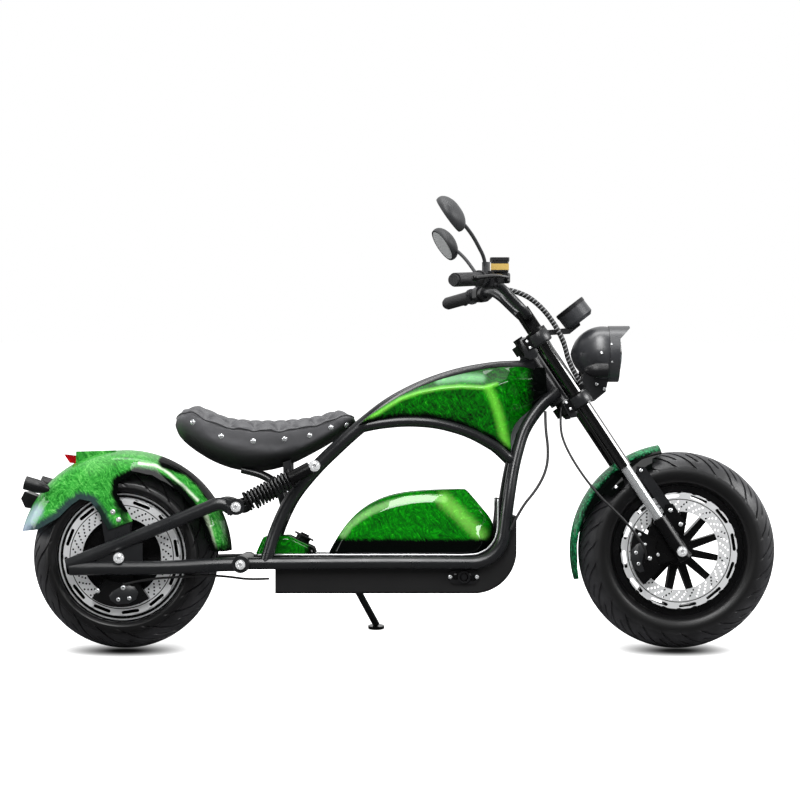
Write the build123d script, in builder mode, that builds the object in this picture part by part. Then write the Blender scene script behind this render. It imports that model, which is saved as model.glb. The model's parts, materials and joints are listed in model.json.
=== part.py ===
from build123d import *
from math import cos, radians, sin, sqrt, tan
import os

os.makedirs("parts", exist_ok=True)

# ---------------------------------------------------------------- sizes (mm)
# The motorcycle is drawn upright: +X forward, +Y to its left, +Z up, with the
# ground at z = 0 under both tyres. Every piece is then leaned onto the stand.
lean_angle = 8.0
park_shift = 140.0

# wheels
front_axle_x = 690.0
rear_axle_x = -684.0
front_tyre_height = 92.6
front_tyre_width = 130.0
front_crown_radius = 68.0
rear_tyre_height = 77.6
rear_tyre_width = 208.0
rear_crown_radius = 118.0
tyre_wall = 9.0
tyre_seat_gap = 0.2
tread_share = 0.86
rim_seat_radius = 152.4
rim_flange_height = 10.0
rim_clearance = 1.0
rim_wall = 6.0
rim_drop = 8.0
front_rim_width = 92.0
rear_rim_width = 158.0
hub_bore_gap = 0.08

# brake discs: a drilled braking band inside a slotted carrier ring
disc_outer_radius = 144.0
disc_inner_radius = 97.0
disc_thickness = 4.0
disc_groove_radius = 127.0
pad_gap = 0.6
caliper_outer = 122.0
caliper_inner = 62.0
caliper_span = 70.0
rear_carrier_y = -100.0
carrier_thickness = 11.0
axle_spacer_radius = 14.0
axle_head = 9.0
axle_head_radius = 13.0
front_disc_y = -60.0
rear_disc_y = -93.0
disc_boss_radius = 7.0
disc_boss_count = 6
disc_boss_circle = 135.5
boss_angle = 6.0
slot_count = 12
slot_angle = 21.0
slot_length = 44.0
slot_width = 8.0
scallop_count = 24
scallop_radius = 12.0
drill_circles = (103.0, 109.0, 115.0, 121.0)
drill_count = 36
drill_step = 3.0
drill_radius = 2.4

# wheel centres
spoke_count = 12
spoke_angle = 11.0
spoke_root = 20.0
spoke_tip = 13.0
spoke_depth = 44.0
front_hub_radius = 36.0
front_hub_width = 108.0
motor_radius = 124.0
motor_width = 118.0
motor_cover_radius = 112.0
motor_cover_y = 66.0
motor_rib_count = 6
motor_rib_angle = 36.0
motor_rib_root = 58.0
motor_rib_y = 70.0
motor_boss_radius = 34.0
motor_boss_y = 80.0
web_depth = 60.0
rear_axle_radius = 8.0
pivot_tube_radius = 20.0

# fork
rake = 33.5
fork_offset = 40.0
leg_spacing = 190.0
outer_tube_radius = 16.5
outer_tube_low = 248.0
outer_tube_tip = 2.0
stanchion_radius = 12.5
lug_radius = 18.0
lug_ear = 7.0
lug_high = 98.0
lug_low = -24.0
lower_clamp_w = 447.0
top_clamp_w = 632.0
clamp_height = 36.0
clamp_radius = 26.0
clamp_fit = 0.05
stem_radius = 13.0
bearing_gap = 0.6
head_tube_radius = 24.0
front_axle_radius = 8.0

# handlebar
bar_rise = 60.0
bar_radius = 11.0
grip_radius = 16.5
grip_length = 118.0
riser_y = 34.0

# controls, lamp and instrument
lever_radius = 5.0
mirror_width = 116.0
mirror_height = 92.0
mirror_rim = 4.0
mirror_glass_depth = 3.0
mirror_stem_radius = 4.5
dial_reach = 112.3
dial_rise = 19.6
dial_radius = 40.0
dial_depth = 45.0
lamp_reach = 128.3
lamp_rise = 54.9
lamp_depth = 94.0
lamp_radius = 68.0
lamp_rim_depth = 25.0
visor_reach = 27.0
lens_bulge = 7.0
lamp_ear_y = 28.0
lamp_ear = 5.0
brake_hose_diameter = 6.0
frame_hose_diameter = 7.0
harness_diameter = 13.0

# frame tubes
top_tube_radius = 15.0
arch_tube_radius = 11.0
cradle_tube_radius = 15.0
weld_gap = 0.2
rail_y = 110.0
rail_z = 217.0
strut_y = 88.0
swing_y = 134.0
swing_lug_half = 19.0
pivot_lug_radius = 21.0
seat_bar_radius = 9.0
shock_eye_half = 9.5
shock_eye_radius = 12.0
shock_cheek = 6.0
shock_bolt_radius = 5.0
shock_rod_radius = 6.5
shock_body_radius = 17.0
spring_start = 32.0
spring_length = 116.0
spring_radius = 24.0
spring_wire = 6.0
perch_radius = 25.0
perch_height = 5.0
swing_tube_radius = 17.0
pivot_x = -388.0
pivot_z = 215.0

cross_tube_radius = 13.0
pivot_tube_half = 113.0
pivot_bolt_radius = 7.0
pivot_bolt_half = 153.0
bolt_head = 7.0
bolt_head_radius = 12.0

# body panels
deck_half_width = 90.0
deck_bend_x = 228.0
deck_bend = 62.0
deck_top_z = 376.0
battery_nose_x = 287.0
battery_nose_top = 332.0
battery_pack_x = -60.0
battery_pack_length = 440.0
battery_pack_height = 62.0
rear_cover_half_width = 68.0
rear_cover_bevel = 9.0
tunnel_bevel = 26.0
cap_tilt = 25.8
seat_half_width = 142.0
panel_wall = 3.0
deck_thickness = 3.0
tunnel_half_width = 86.0
battery_half_width = 92.0
battery_wall = 3.0
battery_floor_z = 141.0
battery_rear_x = -307.0
front_guard_gap = 21.0
front_guard_half_width = 74.0
front_guard_depth = 60.0
front_guard_start = 100.0
front_guard_end = 196.0
rear_guard_gap = 34.0
rear_guard_half_width = 113.0
rear_guard_skirt = 68.0
rear_guard_start = 3.0
rear_guard_end = 166.0
bracket_plate = 4.0
lamp_half_width = 42.0
guard_wall = 2.5

# side stand
stand_pivot = Vector(-130.0, 122.0, 178.0)
stand_foot_x = -62.0
stand_foot_y = 232.0
stand_leg_radius = 9.0
stand_pin_radius = 5.0
stand_eye_radius = 14.0
stand_eye_length = 10.0
stand_pad_radius = 21.0
stand_pad_height = 8.0
stand_gap = 0.3

# ------------------------------------------------------------ derived values
lean = radians(lean_angle)
parked = Pos(0, -park_shift, 0) * Rot(-lean_angle, 0, 0)
front_tyre_radius = rim_seat_radius + front_tyre_height
rear_tyre_radius = rim_seat_radius + rear_tyre_height
front_guard_radius = front_tyre_radius + front_guard_gap
front_guard_skirt = front_guard_radius - front_guard_depth
rear_guard_radius = rear_tyre_radius + rear_guard_gap
outer_tube_high = top_clamp_w + clamp_height / 2 + outer_tube_tip


def axle_height(tyre_radius, crown_radius):
    """Height that puts the leaned tyre's crown on the ground."""
    return tyre_radius - crown_radius + crown_radius / cos(lean)


front_axle_z = axle_height(front_tyre_radius, front_crown_radius)
rear_axle_z = axle_height(rear_tyre_radius, rear_crown_radius)

# The fork's plane: origin on the front axle, z up along the legs, x square to
# them and forward. fork_point gives model coordinates from those.
rake_sin = sin(radians(rake))
rake_cos = cos(radians(rake))
fork_plane = Plane(
    origin=(front_axle_x, 0, front_axle_z),
    x_dir=(rake_cos, 0, rake_sin),
    z_dir=(-rake_sin, 0, rake_cos),
)
leg_y = leg_spacing / 2


def fork_point(u, y, w):
    """Model point from forward, left and up-the-leg distances."""
    return (
        front_axle_x + u * rake_cos - w * rake_sin,
        y,
        front_axle_z + u * rake_sin + w * rake_cos,
    )


lamp_seam_x, _, lamp_z = fork_point(lamp_reach, 0, lower_clamp_w + lamp_rise)
lamp_tail_x = lamp_seam_x - lamp_depth
dial_x, _, dial_z = fork_point(dial_reach, 0, top_clamp_w + dial_rise)


def fork_level(w, u=0.0):
    """A plane square to the fork legs, w up from the front axle."""
    return Plane(origin=fork_point(u, 0, w), x_dir=fork_plane.x_dir, z_dir=fork_plane.z_dir)


def bend_radii(points, share=0.45):
    """The largest arc that each corner of a route leaves room for."""
    radii = []
    for before, corner, after in zip(points, points[1:], points[2:]):
        run_in = Vector(corner) - Vector(before)
        run_out = Vector(after) - Vector(corner)
        half_turn = radians(run_in.get_angle(run_out)) / 2
        radii.append(share * min(run_in.length, run_out.length) / tan(half_turn))
    return radii


def swept_tube(points, radius, share=0.45):
    """A round tube along straight runs joined by tangent arcs."""
    with BuildPart() as tube:
        with BuildLine() as route:
            if len(points) > 2:
                FilletPolyline(*points, radius=bend_radii(points, share))
            else:
                Line(*points)
        with BuildSketch(route.line ^ 0):
            Circle(radius)
        sweep()
    return tube.part


def side_plane(y):
    """A plane seen from the left, drawn in x and z, at distance y."""
    return Plane(origin=(0, y, 0), x_dir=(1, 0, 0), z_dir=(0, -1, 0))


def wheel_plane(x, y, z):
    """A plane square to a wheel's axis; its z points to the left."""
    return Plane(origin=(x, y, z), x_dir=(1, 0, 0), z_dir=(0, 1, 0))


def section_plane(x):
    """A plane square to X; its x points to the left and its y points up."""
    return Plane(origin=(x, 0, 0), x_dir=(0, 1, 0), z_dir=(1, 0, 0))


# -------------------------------------------------------------------- wheels
def wheel_section_plane(x, z):
    """Sketch plane whose x runs along the axle and y runs up from it."""
    return Plane(origin=(x, 0, z), x_dir=(0, 1, 0), z_dir=(1, 0, 0))


def make_tyre(plane, axis, radius, width, crown, rim_width):
    """A tyre's shell, open towards the rim, with both beads on their seats."""
    half = width / 2
    shoulder_y = half * tread_share
    shoulder_r = radius - crown + sqrt(crown**2 - shoulder_y**2)
    flange_r = rim_seat_radius + rim_flange_height + rim_clearance
    wall_r = flange_r + (shoulder_r - flange_r) * 0.55
    lip_y = rim_width / 2 + rim_clearance
    bead_y = rim_width / 2 - rim_wall - tyre_seat_gap
    bead_r = rim_seat_radius + tyre_seat_gap
    inner_y = bead_y - tyre_wall
    under_y = shoulder_y - tyre_wall
    under_r = shoulder_r - tyre_wall
    with BuildPart() as tyre:
        with BuildSketch(plane):
            with BuildLine() as half_section:
                ThreePointArc((-shoulder_y, shoulder_r), (0, radius), (shoulder_y, shoulder_r))
                ThreePointArc((shoulder_y, shoulder_r), (half, wall_r), (lip_y, flange_r))
                Polyline(
                    (lip_y, flange_r),
                    (bead_y, flange_r),
                    (bead_y, bead_r),
                    (inner_y, bead_r),
                    (inner_y, flange_r),
                    (under_y, under_r),
                )
                ThreePointArc((under_y, under_r), (0, radius - tyre_wall), (-under_y, under_r))
                Polyline(
                    (-under_y, under_r),
                    (-inner_y, flange_r),
                    (-inner_y, bead_r),
                    (-bead_y, bead_r),
                    (-bead_y, flange_r),
                    (-lip_y, flange_r),
                )
                ThreePointArc((-lip_y, flange_r), (-half, wall_r), (-shoulder_y, shoulder_r))
            make_face()
        revolve(axis=axis)
    return tyre.part


def make_rim(plane, axis, rim_width):
    """A drop-centre rim."""
    half = rim_width / 2
    well_y = half * 0.45
    well_r = rim_seat_radius - rim_drop
    under = rim_seat_radius - rim_wall
    with BuildPart() as rim:
        with BuildSketch(plane):
            with BuildLine():
                Polyline(
                    (-well_y, well_r),
                    (well_y, well_r),
                    (well_y + rim_drop, rim_seat_radius),
                    (half - rim_wall, rim_seat_radius),
                    (half - rim_wall, rim_seat_radius + rim_flange_height),
                    (half, rim_seat_radius + rim_flange_height),
                    (half, under),
                    (well_y + rim_drop, under),
                    (well_y, well_r - rim_wall),
                    (-well_y, well_r - rim_wall),
                    (-well_y - rim_drop, under),
                    (-half, under),
                    (-half, rim_seat_radius + rim_flange_height),
                    (-half + rim_wall, rim_seat_radius + rim_flange_height),
                    (-half + rim_wall, rim_seat_radius),
                    (-well_y - rim_drop, rim_seat_radius),
                    (-well_y, well_r),
                )
            make_face()
        revolve(axis=axis)
    return rim.part


def make_disc(x, y, z):
    """A drilled braking band inside a slotted, scalloped carrier ring."""
    with BuildPart() as disc:
        with BuildSketch(wheel_plane(x, y - disc_thickness / 2, z)):
            Circle(disc_outer_radius)
            with PolarLocations(disc_outer_radius + scallop_radius * 0.82, scallop_count):
                Circle(scallop_radius, mode=Mode.SUBTRACT)
            Circle(disc_inner_radius, mode=Mode.SUBTRACT)
            with PolarLocations(disc_boss_circle, slot_count, start_angle=slot_angle):
                SlotOverall(slot_length, slot_width, rotation=90, mode=Mode.SUBTRACT)
            for row, circle in enumerate(drill_circles):
                with PolarLocations(circle, drill_count, start_angle=row * drill_step):
                    Circle(drill_radius, mode=Mode.SUBTRACT)
        extrude(amount=disc_thickness)
        with BuildSketch(wheel_plane(x, y - disc_thickness / 2, z)):
            Circle(disc_groove_radius + 0.8)
            Circle(disc_groove_radius - 0.8, mode=Mode.SUBTRACT)
        extrude(amount=0.8, mode=Mode.SUBTRACT)
    return disc.part


front_wheel_axis = Axis((front_axle_x, 0, front_axle_z), (0, 1, 0))
rear_wheel_axis = Axis((rear_axle_x, 0, rear_axle_z), (0, 1, 0))
front_section = wheel_section_plane(front_axle_x, front_axle_z)
rear_section = wheel_section_plane(rear_axle_x, rear_axle_z)

with BuildPart() as front_tyre:
    add(
        make_tyre(
            front_section,
            front_wheel_axis,
            front_tyre_radius,
            front_tyre_width,
            front_crown_radius,
            front_rim_width,
        )
    )
front_tyre.part.label = "front_tyre"

with BuildPart() as rear_tyre:
    add(
        make_tyre(
            rear_section,
            rear_wheel_axis,
            rear_tyre_radius,
            rear_tyre_width,
            rear_crown_radius,
            rear_rim_width,
        )
    )
rear_tyre.part.label = "rear_tyre"

# Twelve plain spokes carry the front rim on a hub with two bearings' width.
with BuildPart() as front_rim:
    add(make_rim(front_section, front_wheel_axis, front_rim_width))
    with BuildSketch(wheel_plane(front_axle_x, -spoke_depth / 2, front_axle_z)):
        with PolarLocations(0, spoke_count, start_angle=spoke_angle):
            Polygon(
                (front_hub_radius - 4, -spoke_root / 2),
                (rim_seat_radius - 2, -spoke_tip / 2),
                (rim_seat_radius - 2, spoke_tip / 2),
                (front_hub_radius - 4, spoke_root / 2),
                align=None,
            )
    extrude(amount=spoke_depth)
    with BuildSketch(wheel_plane(front_axle_x, -front_hub_width / 2, front_axle_z)):
        Circle(front_hub_radius)
    extrude(amount=front_hub_width)
    # bosses that carry the brake disc
    disc_face = front_disc_y + disc_thickness / 2
    with BuildSketch(wheel_plane(front_axle_x, disc_face, front_axle_z)):
        with PolarLocations(disc_boss_circle, disc_boss_count, start_angle=boss_angle):
            Circle(disc_boss_radius)
    extrude(amount=-disc_face)
    with BuildSketch(wheel_plane(front_axle_x, -front_hub_width, front_axle_z)):
        Circle(front_axle_radius + hub_bore_gap)
    extrude(amount=2 * front_hub_width, mode=Mode.SUBTRACT)
front_rim.part.label = "front_rim"

with BuildPart() as front_disc:
    add(make_disc(front_axle_x, front_disc_y, front_axle_z))
front_disc.part.label = "front_disc"

# The rear wheel turns on a hub motor held between the rim's web and the covers.
with BuildPart() as rear_rim:
    add(make_rim(rear_section, rear_wheel_axis, rear_rim_width))
    with BuildSketch(wheel_plane(rear_axle_x, -web_depth / 2, rear_axle_z)):
        Circle(rim_seat_radius - rim_drop - rim_wall / 2)
        Circle(motor_radius + clamp_fit, mode=Mode.SUBTRACT)
    extrude(amount=web_depth)
    rear_disc_face = rear_disc_y + disc_thickness / 2
    with BuildSketch(wheel_plane(rear_axle_x, rear_disc_face, rear_axle_z)):
        with PolarLocations(disc_boss_circle, disc_boss_count, start_angle=boss_angle):
            Circle(disc_boss_radius)
    extrude(amount=-rear_disc_face)
rear_rim.part.label = "rear_rim"

with BuildPart() as hub_motor:
    with BuildSketch(wheel_plane(rear_axle_x, -motor_width / 2, rear_axle_z)):
        Circle(motor_radius)
    extrude(amount=motor_width)
    with BuildSketch(wheel_plane(rear_axle_x, -motor_cover_y, rear_axle_z)):
        Circle(motor_cover_radius)
    extrude(amount=2 * motor_cover_y)
    fillet(hub_motor.edges().filter_by(GeomType.CIRCLE).group_by(Axis.Y)[0], 4)
    with BuildSketch(wheel_plane(rear_axle_x, -motor_rib_y, rear_axle_z)):
        with PolarLocations(0, motor_rib_count, start_angle=motor_rib_angle):
            with Locations((motor_radius / 2, 0)):
                Trapezoid(motor_rib_root, motor_radius - 22, 84, rotation=-90)
    extrude(amount=motor_rib_y - motor_width / 2)
    with BuildSketch(wheel_plane(rear_axle_x, -motor_boss_y, rear_axle_z)):
        Circle(motor_boss_radius)
    extrude(amount=2 * motor_boss_y)
    with BuildSketch(wheel_plane(rear_axle_x, -motor_boss_y, rear_axle_z)):
        Circle(rear_axle_radius + hub_bore_gap)
    extrude(amount=2 * motor_boss_y, mode=Mode.SUBTRACT)
hub_motor.part.label = "hub_motor"

with BuildPart() as rear_disc:
    add(make_disc(rear_axle_x, rear_disc_y, rear_axle_z))
rear_disc.part.label = "rear_disc"

# ---------------------------------------------------------------- main frame
# Steering head: a tube on the steering axis between the two fork clamps.
head_low = lower_clamp_w + clamp_height / 2 + bearing_gap
head_high = top_clamp_w - clamp_height / 2 - bearing_gap
with BuildPart() as steering_head:
    with BuildSketch(fork_level(head_low, -fork_offset)):
        Circle(head_tube_radius)
    extrude(amount=head_high - head_low)
    chamfer(steering_head.edges().filter_by(GeomType.CIRCLE), 2)
    with BuildSketch(fork_level(head_low, -fork_offset)):
        Circle(stem_radius + hub_bore_gap)
    extrude(amount=head_high - head_low, mode=Mode.SUBTRACT)
steering_head.part.label = "steering_head"

# One tube a side runs from the head over the tank and down to the floor rail.
top_route = [
    (334, 24, 703),
    (247, 30, 702),
    (150, 44, 686),
    (60, 62, 656),
    (-28, 80, 611),
    (-115, strut_y, 541),
    (-209, strut_y, 452),
    (-270, strut_y, 378),
    (-306, strut_y + 6, 300),
    (-330, rail_y, rail_z),
]
cradle_route = [
    (392, 22, 640),
    (350, 36, 606),
    (306, 58, 546),
    (280, 84, 458),
    (266, rail_y - 8, 372),
    (247, rail_y, rail_z),
    (-40, rail_y, rail_z + 1),
    (pivot_x, rail_y, pivot_z + 1),
]
arch_route = [
    (-112, strut_y, 547),
    (-60, strut_y, 559),
    (15, strut_y, 567),
    (95, strut_y, 562),
    (175, strut_y, 539),
    (240, strut_y - 2, 502),
    (263, strut_y - 2, 480),
]



with BuildPart() as head_cutter:
    with BuildSketch(fork_level(head_low - 5, -fork_offset)):
        Circle(head_tube_radius + weld_gap)
    extrude(amount=head_high - head_low + 10)

with BuildPart() as top_cutter:
    add(swept_tube(top_route, top_tube_radius + weld_gap))
    mirror(about=Plane.XZ)

with BuildPart() as cradle_cutter:
    add(swept_tube(cradle_route, cradle_tube_radius + weld_gap))
    mirror(about=Plane.XZ)

with BuildPart() as pivot_cutter:
    with BuildSketch(Plane.XZ.offset(-rail_y - 30)):
        with Locations((pivot_x, pivot_z)):
            Circle(pivot_tube_radius + weld_gap)
    extrude(amount=2 * rail_y + 60)

with BuildPart() as cradle_tubes:
    add(swept_tube(cradle_route, cradle_tube_radius))
    with BuildSketch(side_plane(swing_y + swing_lug_half)):
        with Locations((pivot_x, pivot_z)):
            Circle(pivot_lug_radius + stand_gap)
    extrude(amount=2 * swing_lug_half + stand_gap, mode=Mode.SUBTRACT)
    mirror(about=Plane.XZ)
    add(head_cutter.part, mode=Mode.SUBTRACT)
    add(pivot_cutter.part, mode=Mode.SUBTRACT)
cradle_tubes.part.label = "cradle_tubes"

with BuildPart() as top_tubes:
    add(swept_tube(top_route, top_tube_radius))
    mirror(about=Plane.XZ)
    add(head_cutter.part, mode=Mode.SUBTRACT)
    add(cradle_cutter.part, mode=Mode.SUBTRACT)
top_tubes.part.label = "top_tubes"

with BuildPart() as arch_tubes:
    add(swept_tube(arch_route, arch_tube_radius))
    mirror(about=Plane.XZ)
    add(top_cutter.part, mode=Mode.SUBTRACT)
    add(cradle_cutter.part, mode=Mode.SUBTRACT)
arch_tubes.part.label = "arch_tubes"

# Cross tubes tie the two sides together, and the last one is the arm's pivot.
with BuildPart() as cross_tubes:
    for cross_x, cross_z, reach in (
        (-112, 541, strut_y),
        (-290, 330, strut_y + 3),
        (180, rail_z - 1, rail_y - 4),
        (-300, rail_z - 1, rail_y - 4),
    ):
        with BuildSketch(Plane.XZ.offset(-reach)):
            with Locations((cross_x, cross_z)):
                Circle(cross_tube_radius)
        extrude(amount=2 * reach)
    add(top_cutter.part, mode=Mode.SUBTRACT)
    with BuildSketch(section_plane(pivot_x)):
        with Locations((rail_y, rail_z), (-rail_y, rail_z)):
            Circle(cradle_tube_radius + 1)
    extrude(amount=deck_bend_x - pivot_x, mode=Mode.SUBTRACT)
    with BuildSketch(Plane.XZ.offset(-pivot_tube_half)):
        with Locations((pivot_x, pivot_z)):
            Circle(pivot_tube_radius)
            Circle(pivot_bolt_radius + clamp_fit, mode=Mode.SUBTRACT)
    extrude(amount=2 * pivot_tube_half)
cross_tubes.part.label = "cross_tubes"

with BuildPart() as cross_cutter:
    with BuildSketch(Plane.XZ.offset(-strut_y)):
        with Locations((-112, 541)):
            Circle(cross_tube_radius + weld_gap)
    extrude(amount=2 * strut_y)

# ------------------------------------------------------------------- panels
def section_face(x, points):
    """A closed outline square to X, given as half outline (y, z) points."""
    with BuildSketch(Plane(origin=(x, 0, 0), x_dir=(0, 1, 0), z_dir=(1, 0, 0))) as face:
        with BuildLine():
            Polyline(points + [(-a, b) for a, b in reversed(points)], close=True)
        make_face()
    return face.sketch


def ruled_body(stations):
    """A body with flat-edged panels between its cross sections."""
    with BuildPart() as body:
        for x, points in stations:
            add(section_face(x, points))
        loft(ruled=True)
    return body.part


# half outlines run from the top's edge over the shoulder to the bottom's edge
tank_stations = [
    (-92, [(58, 555), (66, 553), (64, 549)]),
    (-22, [(46, 598), (94, 591), (84, 564)]),
    (66, [(34, 642), (106, 626), (84, 567)]),
    (150, [(24, 666), (114, 647), (84, 549)]),
    (232, [(18, 682), (118, 657), (88, 508)]),
    (258, [(16, 684), (98, 652), (84, 492)]),
    (300, [(14, 683), (48, 652), (36, 570)]),
    (344, [(12, 679), (24, 656), (16, 628)]),
]
with BuildPart() as arch_cutter:
    add(swept_tube(arch_route, arch_tube_radius + weld_gap))
    mirror(about=Plane.XZ)

with BuildPart() as tank_cover:
    add(ruled_body(tank_stations))
    add(top_cutter.part, mode=Mode.SUBTRACT)
    add(arch_cutter.part, mode=Mode.SUBTRACT)
    add(cradle_cutter.part, mode=Mode.SUBTRACT)
    add(head_cutter.part, mode=Mode.SUBTRACT)
tank_cover.part.label = "tank_cover"

# grey panel between the tank's front edge and the down tubes
with BuildPart() as inner_panel:
    with BuildSketch(side_plane(panel_wall / 2)):
        Polygon((262, 480), (254, 518), (294, 602), (328, 652), (352, 612), (290, 500), align=None)
    extrude(amount=panel_wall)
    add(tank_cover.part, mode=Mode.SUBTRACT)
inner_panel.part.label = "inner_panel"

# deck tray: a bent sheet on the floor rails, rising at the front
deck_z = rail_z + cradle_tube_radius + weld_gap
with BuildPart() as deck_tray:
    with BuildSketch(side_plane(deck_half_width)):
        with BuildLine() as deck_line:
            FilletPolyline(
                (-352, deck_z + deck_thickness),
                (deck_bend_x, deck_z + deck_thickness),
                (deck_bend_x + 14, deck_top_z),
                (deck_bend_x + 14 + deck_thickness, deck_top_z),
                (deck_bend_x + deck_thickness, deck_z),
                (-352, deck_z),
                radius=[deck_bend, 0.5, 0.5, deck_bend + deck_thickness],
            )
            Line((-352, deck_z), (-352, deck_z + deck_thickness))
        make_face()
    extrude(amount=2 * deck_half_width)
    add(cradle_cutter.part, mode=Mode.SUBTRACT)
deck_tray.part.label = "deck_tray"

# battery case: under the deck between the rails, its nose following the bend
case_top = rail_z + cradle_tube_radius - 1
with BuildPart() as battery_case:
    with BuildSketch(side_plane(battery_half_width)):
        with BuildLine() as case_line:
            Polyline(
                (battery_nose_x - 17, battery_nose_top),
                (battery_rear_x + 460, case_top),
                (battery_rear_x, case_top),
                (battery_rear_x, battery_floor_z),
                (battery_nose_x - 106, battery_floor_z),
            )
            ThreePointArc(
                (battery_nose_x - 106, battery_floor_z),
                (battery_nose_x - 30, battery_floor_z + 32),
                (battery_nose_x, battery_floor_z + 108),
            )
            Polyline(
                (battery_nose_x, battery_floor_z + 108),
                (battery_nose_x, battery_nose_top),
                (battery_nose_x - 17, battery_nose_top),
            )
        make_face()
    extrude(amount=2 * battery_half_width)
    with BuildSketch(side_plane(battery_half_width + 1)):
        with BuildLine():
            FilletPolyline(
                (battery_rear_x, deck_z - weld_gap),
                (deck_bend_x + deck_thickness + 1, deck_z - weld_gap),
                (deck_bend_x + 17 + deck_thickness, deck_top_z),
                radius=[deck_bend + deck_thickness + 1],
            )
            Polyline(
                (deck_bend_x + 17 + deck_thickness, deck_top_z),
                (0, deck_top_z),
                (battery_rear_x, deck_top_z),
                (battery_rear_x, deck_z - weld_gap),
            )
        make_face()
    extrude(amount=2 * battery_half_width + 2, mode=Mode.SUBTRACT)
    fillet(battery_case.edges().filter_by(Axis.X).group_by(Axis.Z)[0], 6)
    add(cradle_cutter.part, mode=Mode.SUBTRACT)
    for cross_x in (180, -300):
        with BuildSketch(Plane.XZ.offset(-battery_half_width - 1)):
            with Locations((cross_x, rail_z - 1)):
                Circle(cross_tube_radius + weld_gap)
        extrude(amount=2 * battery_half_width + 2, mode=Mode.SUBTRACT)
    with BuildSketch(Plane.XY.offset(battery_floor_z + battery_wall)):
        with Locations((battery_pack_x, 0)):
            Rectangle(battery_pack_length + 2, 2 * battery_half_width - 2 * battery_wall)
    extrude(amount=battery_pack_height + 2, mode=Mode.SUBTRACT)
battery_case.part.label = "battery_case"

with BuildPart() as battery_pack:
    with BuildSketch(Plane.XY.offset(battery_floor_z + battery_wall)):
        with Locations((battery_pack_x, 0)):
            Rectangle(battery_pack_length, 2 * battery_half_width - 2 * battery_wall - 2)
    extrude(amount=battery_pack_height)
battery_pack.part.label = "battery_pack"

# tunnel cover on the deck: a long hump whose sides are bevelled all round
def bevelled_cover(outline, face_outline, half_width, bevel):
    """A symmetrical cover whose flat sides stand out from a larger outline."""
    with BuildPart() as cover:
        for y, points in (
            (half_width, face_outline),
            (half_width - bevel, outline),
            (bevel - half_width, outline),
            (-half_width, face_outline),
        ):
            with BuildSketch(side_plane(y)):
                Polygon(*points, align=None)
        loft(ruled=True)
    return cover.part


deck_face = deck_z + deck_thickness
tunnel_outline = [
    (-178, deck_face), (-160, 268), (-140, 303), (-112, 336), (-75, 363), (-30, 383),
    (25, 393), (95, 397), (163, 398), (200, 356), (232, 317), (226, 270), (190, deck_face),
]
tunnel_face = [
    (-146, deck_face), (-132, 262), (-113, 290), (-90, 314), (-60, 337), (-22, 354),
    (27, 364), (90, 368), (145, 369), (172, 339), (200, 306), (196, 272), (176, deck_face),
]
with BuildPart() as tunnel_cover:
    add(bevelled_cover(tunnel_outline, tunnel_face, tunnel_half_width, tunnel_bevel))
    add(deck_tray.part, mode=Mode.SUBTRACT)
tunnel_cover.part.label = "tunnel_cover"

rear_outline = [(-358, deck_face), (-339, 279), (-276, 283), (-214, 253), (-208, deck_face)]
rear_face = [(-350, deck_face), (-333, 271), (-279, 275), (-222, 248), (-217, deck_face)]
with BuildPart() as rear_cover:
    add(bevelled_cover(rear_outline, rear_face, rear_cover_half_width, rear_cover_bevel))
rear_cover.part.label = "rear_cover"

cap_plane = Plane(
    origin=(-245, 0, 268),
    x_dir=(cos(radians(cap_tilt)), 0, -sin(radians(cap_tilt))),
    z_dir=(sin(radians(cap_tilt)), 0, cos(radians(cap_tilt))),
)
with BuildPart() as charge_fittings:
    with BuildSketch(cap_plane.offset(weld_gap)):
        Circle(18)
    extrude(amount=11)
    with BuildSketch(cap_plane.offset(11 + weld_gap)):
        Circle(26)
        with PolarLocations(26, 8):
            Circle(3, mode=Mode.SUBTRACT)
    extrude(amount=4)
    with BuildSketch(cap_plane.offset(15 + weld_gap)):
        RectangleRounded(22, 12, 3)
    extrude(amount=5)
    with BuildSketch(side_plane(-battery_half_width)):
        with Locations((157, 182)):
            SlotOverall(74, 34)
    extrude(amount=5)
    with BuildSketch(side_plane(-battery_half_width - 5)):
        with Locations((157, 182)):
            Circle(15)
            Circle(11, mode=Mode.SUBTRACT)
    extrude(amount=6)
    with BuildSketch(side_plane(-battery_half_width - 5)):
        with Locations((157, 182)):
            Circle(8)
    extrude(amount=4)
charge_fittings.part.label = "charge_fittings"

# ---------------------------------------------------------------------- seat
with BuildPart() as seat:
    with BuildSketch(side_plane(seat_half_width)):
        with BuildLine():
            ThreePointArc((-515, 595), (-556, 566), (-548, 538))
            ThreePointArc((-548, 538), (-455, 470), (-355, 447))
            ThreePointArc((-355, 447), (-240, 482), (-124, 549))
            ThreePointArc((-124, 549), (-112, 572), (-138, 591))
            ThreePointArc((-138, 591), (-235, 568), (-346, 561))
            ThreePointArc((-346, 561), (-440, 572), (-515, 595))
        make_face()
    extrude(amount=2 * seat_half_width)
    with BuildSketch(Plane.XY.offset(400)):
        with BuildLine() as seat_plan:
            ThreePointArc((-560, 60), (-548, 118), (-500, seat_half_width - 6))
            ThreePointArc((-500, seat_half_width - 6), (-400, seat_half_width), (-300, 128))
            ThreePointArc((-300, 128), (-200, 100), (-112, 74))
            Line((-112, 74), (-112, 0))
            Line((-112, 0), (-560, 0))
            Line((-560, 0), (-560, 60))
        make_face()
        mirror(about=Plane.XZ)
    extrude(amount=300, mode=Mode.INTERSECT)
    add(top_cutter.part, mode=Mode.SUBTRACT)
    add(cross_cutter.part, mode=Mode.SUBTRACT)
seat.part.label = "seat"

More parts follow.
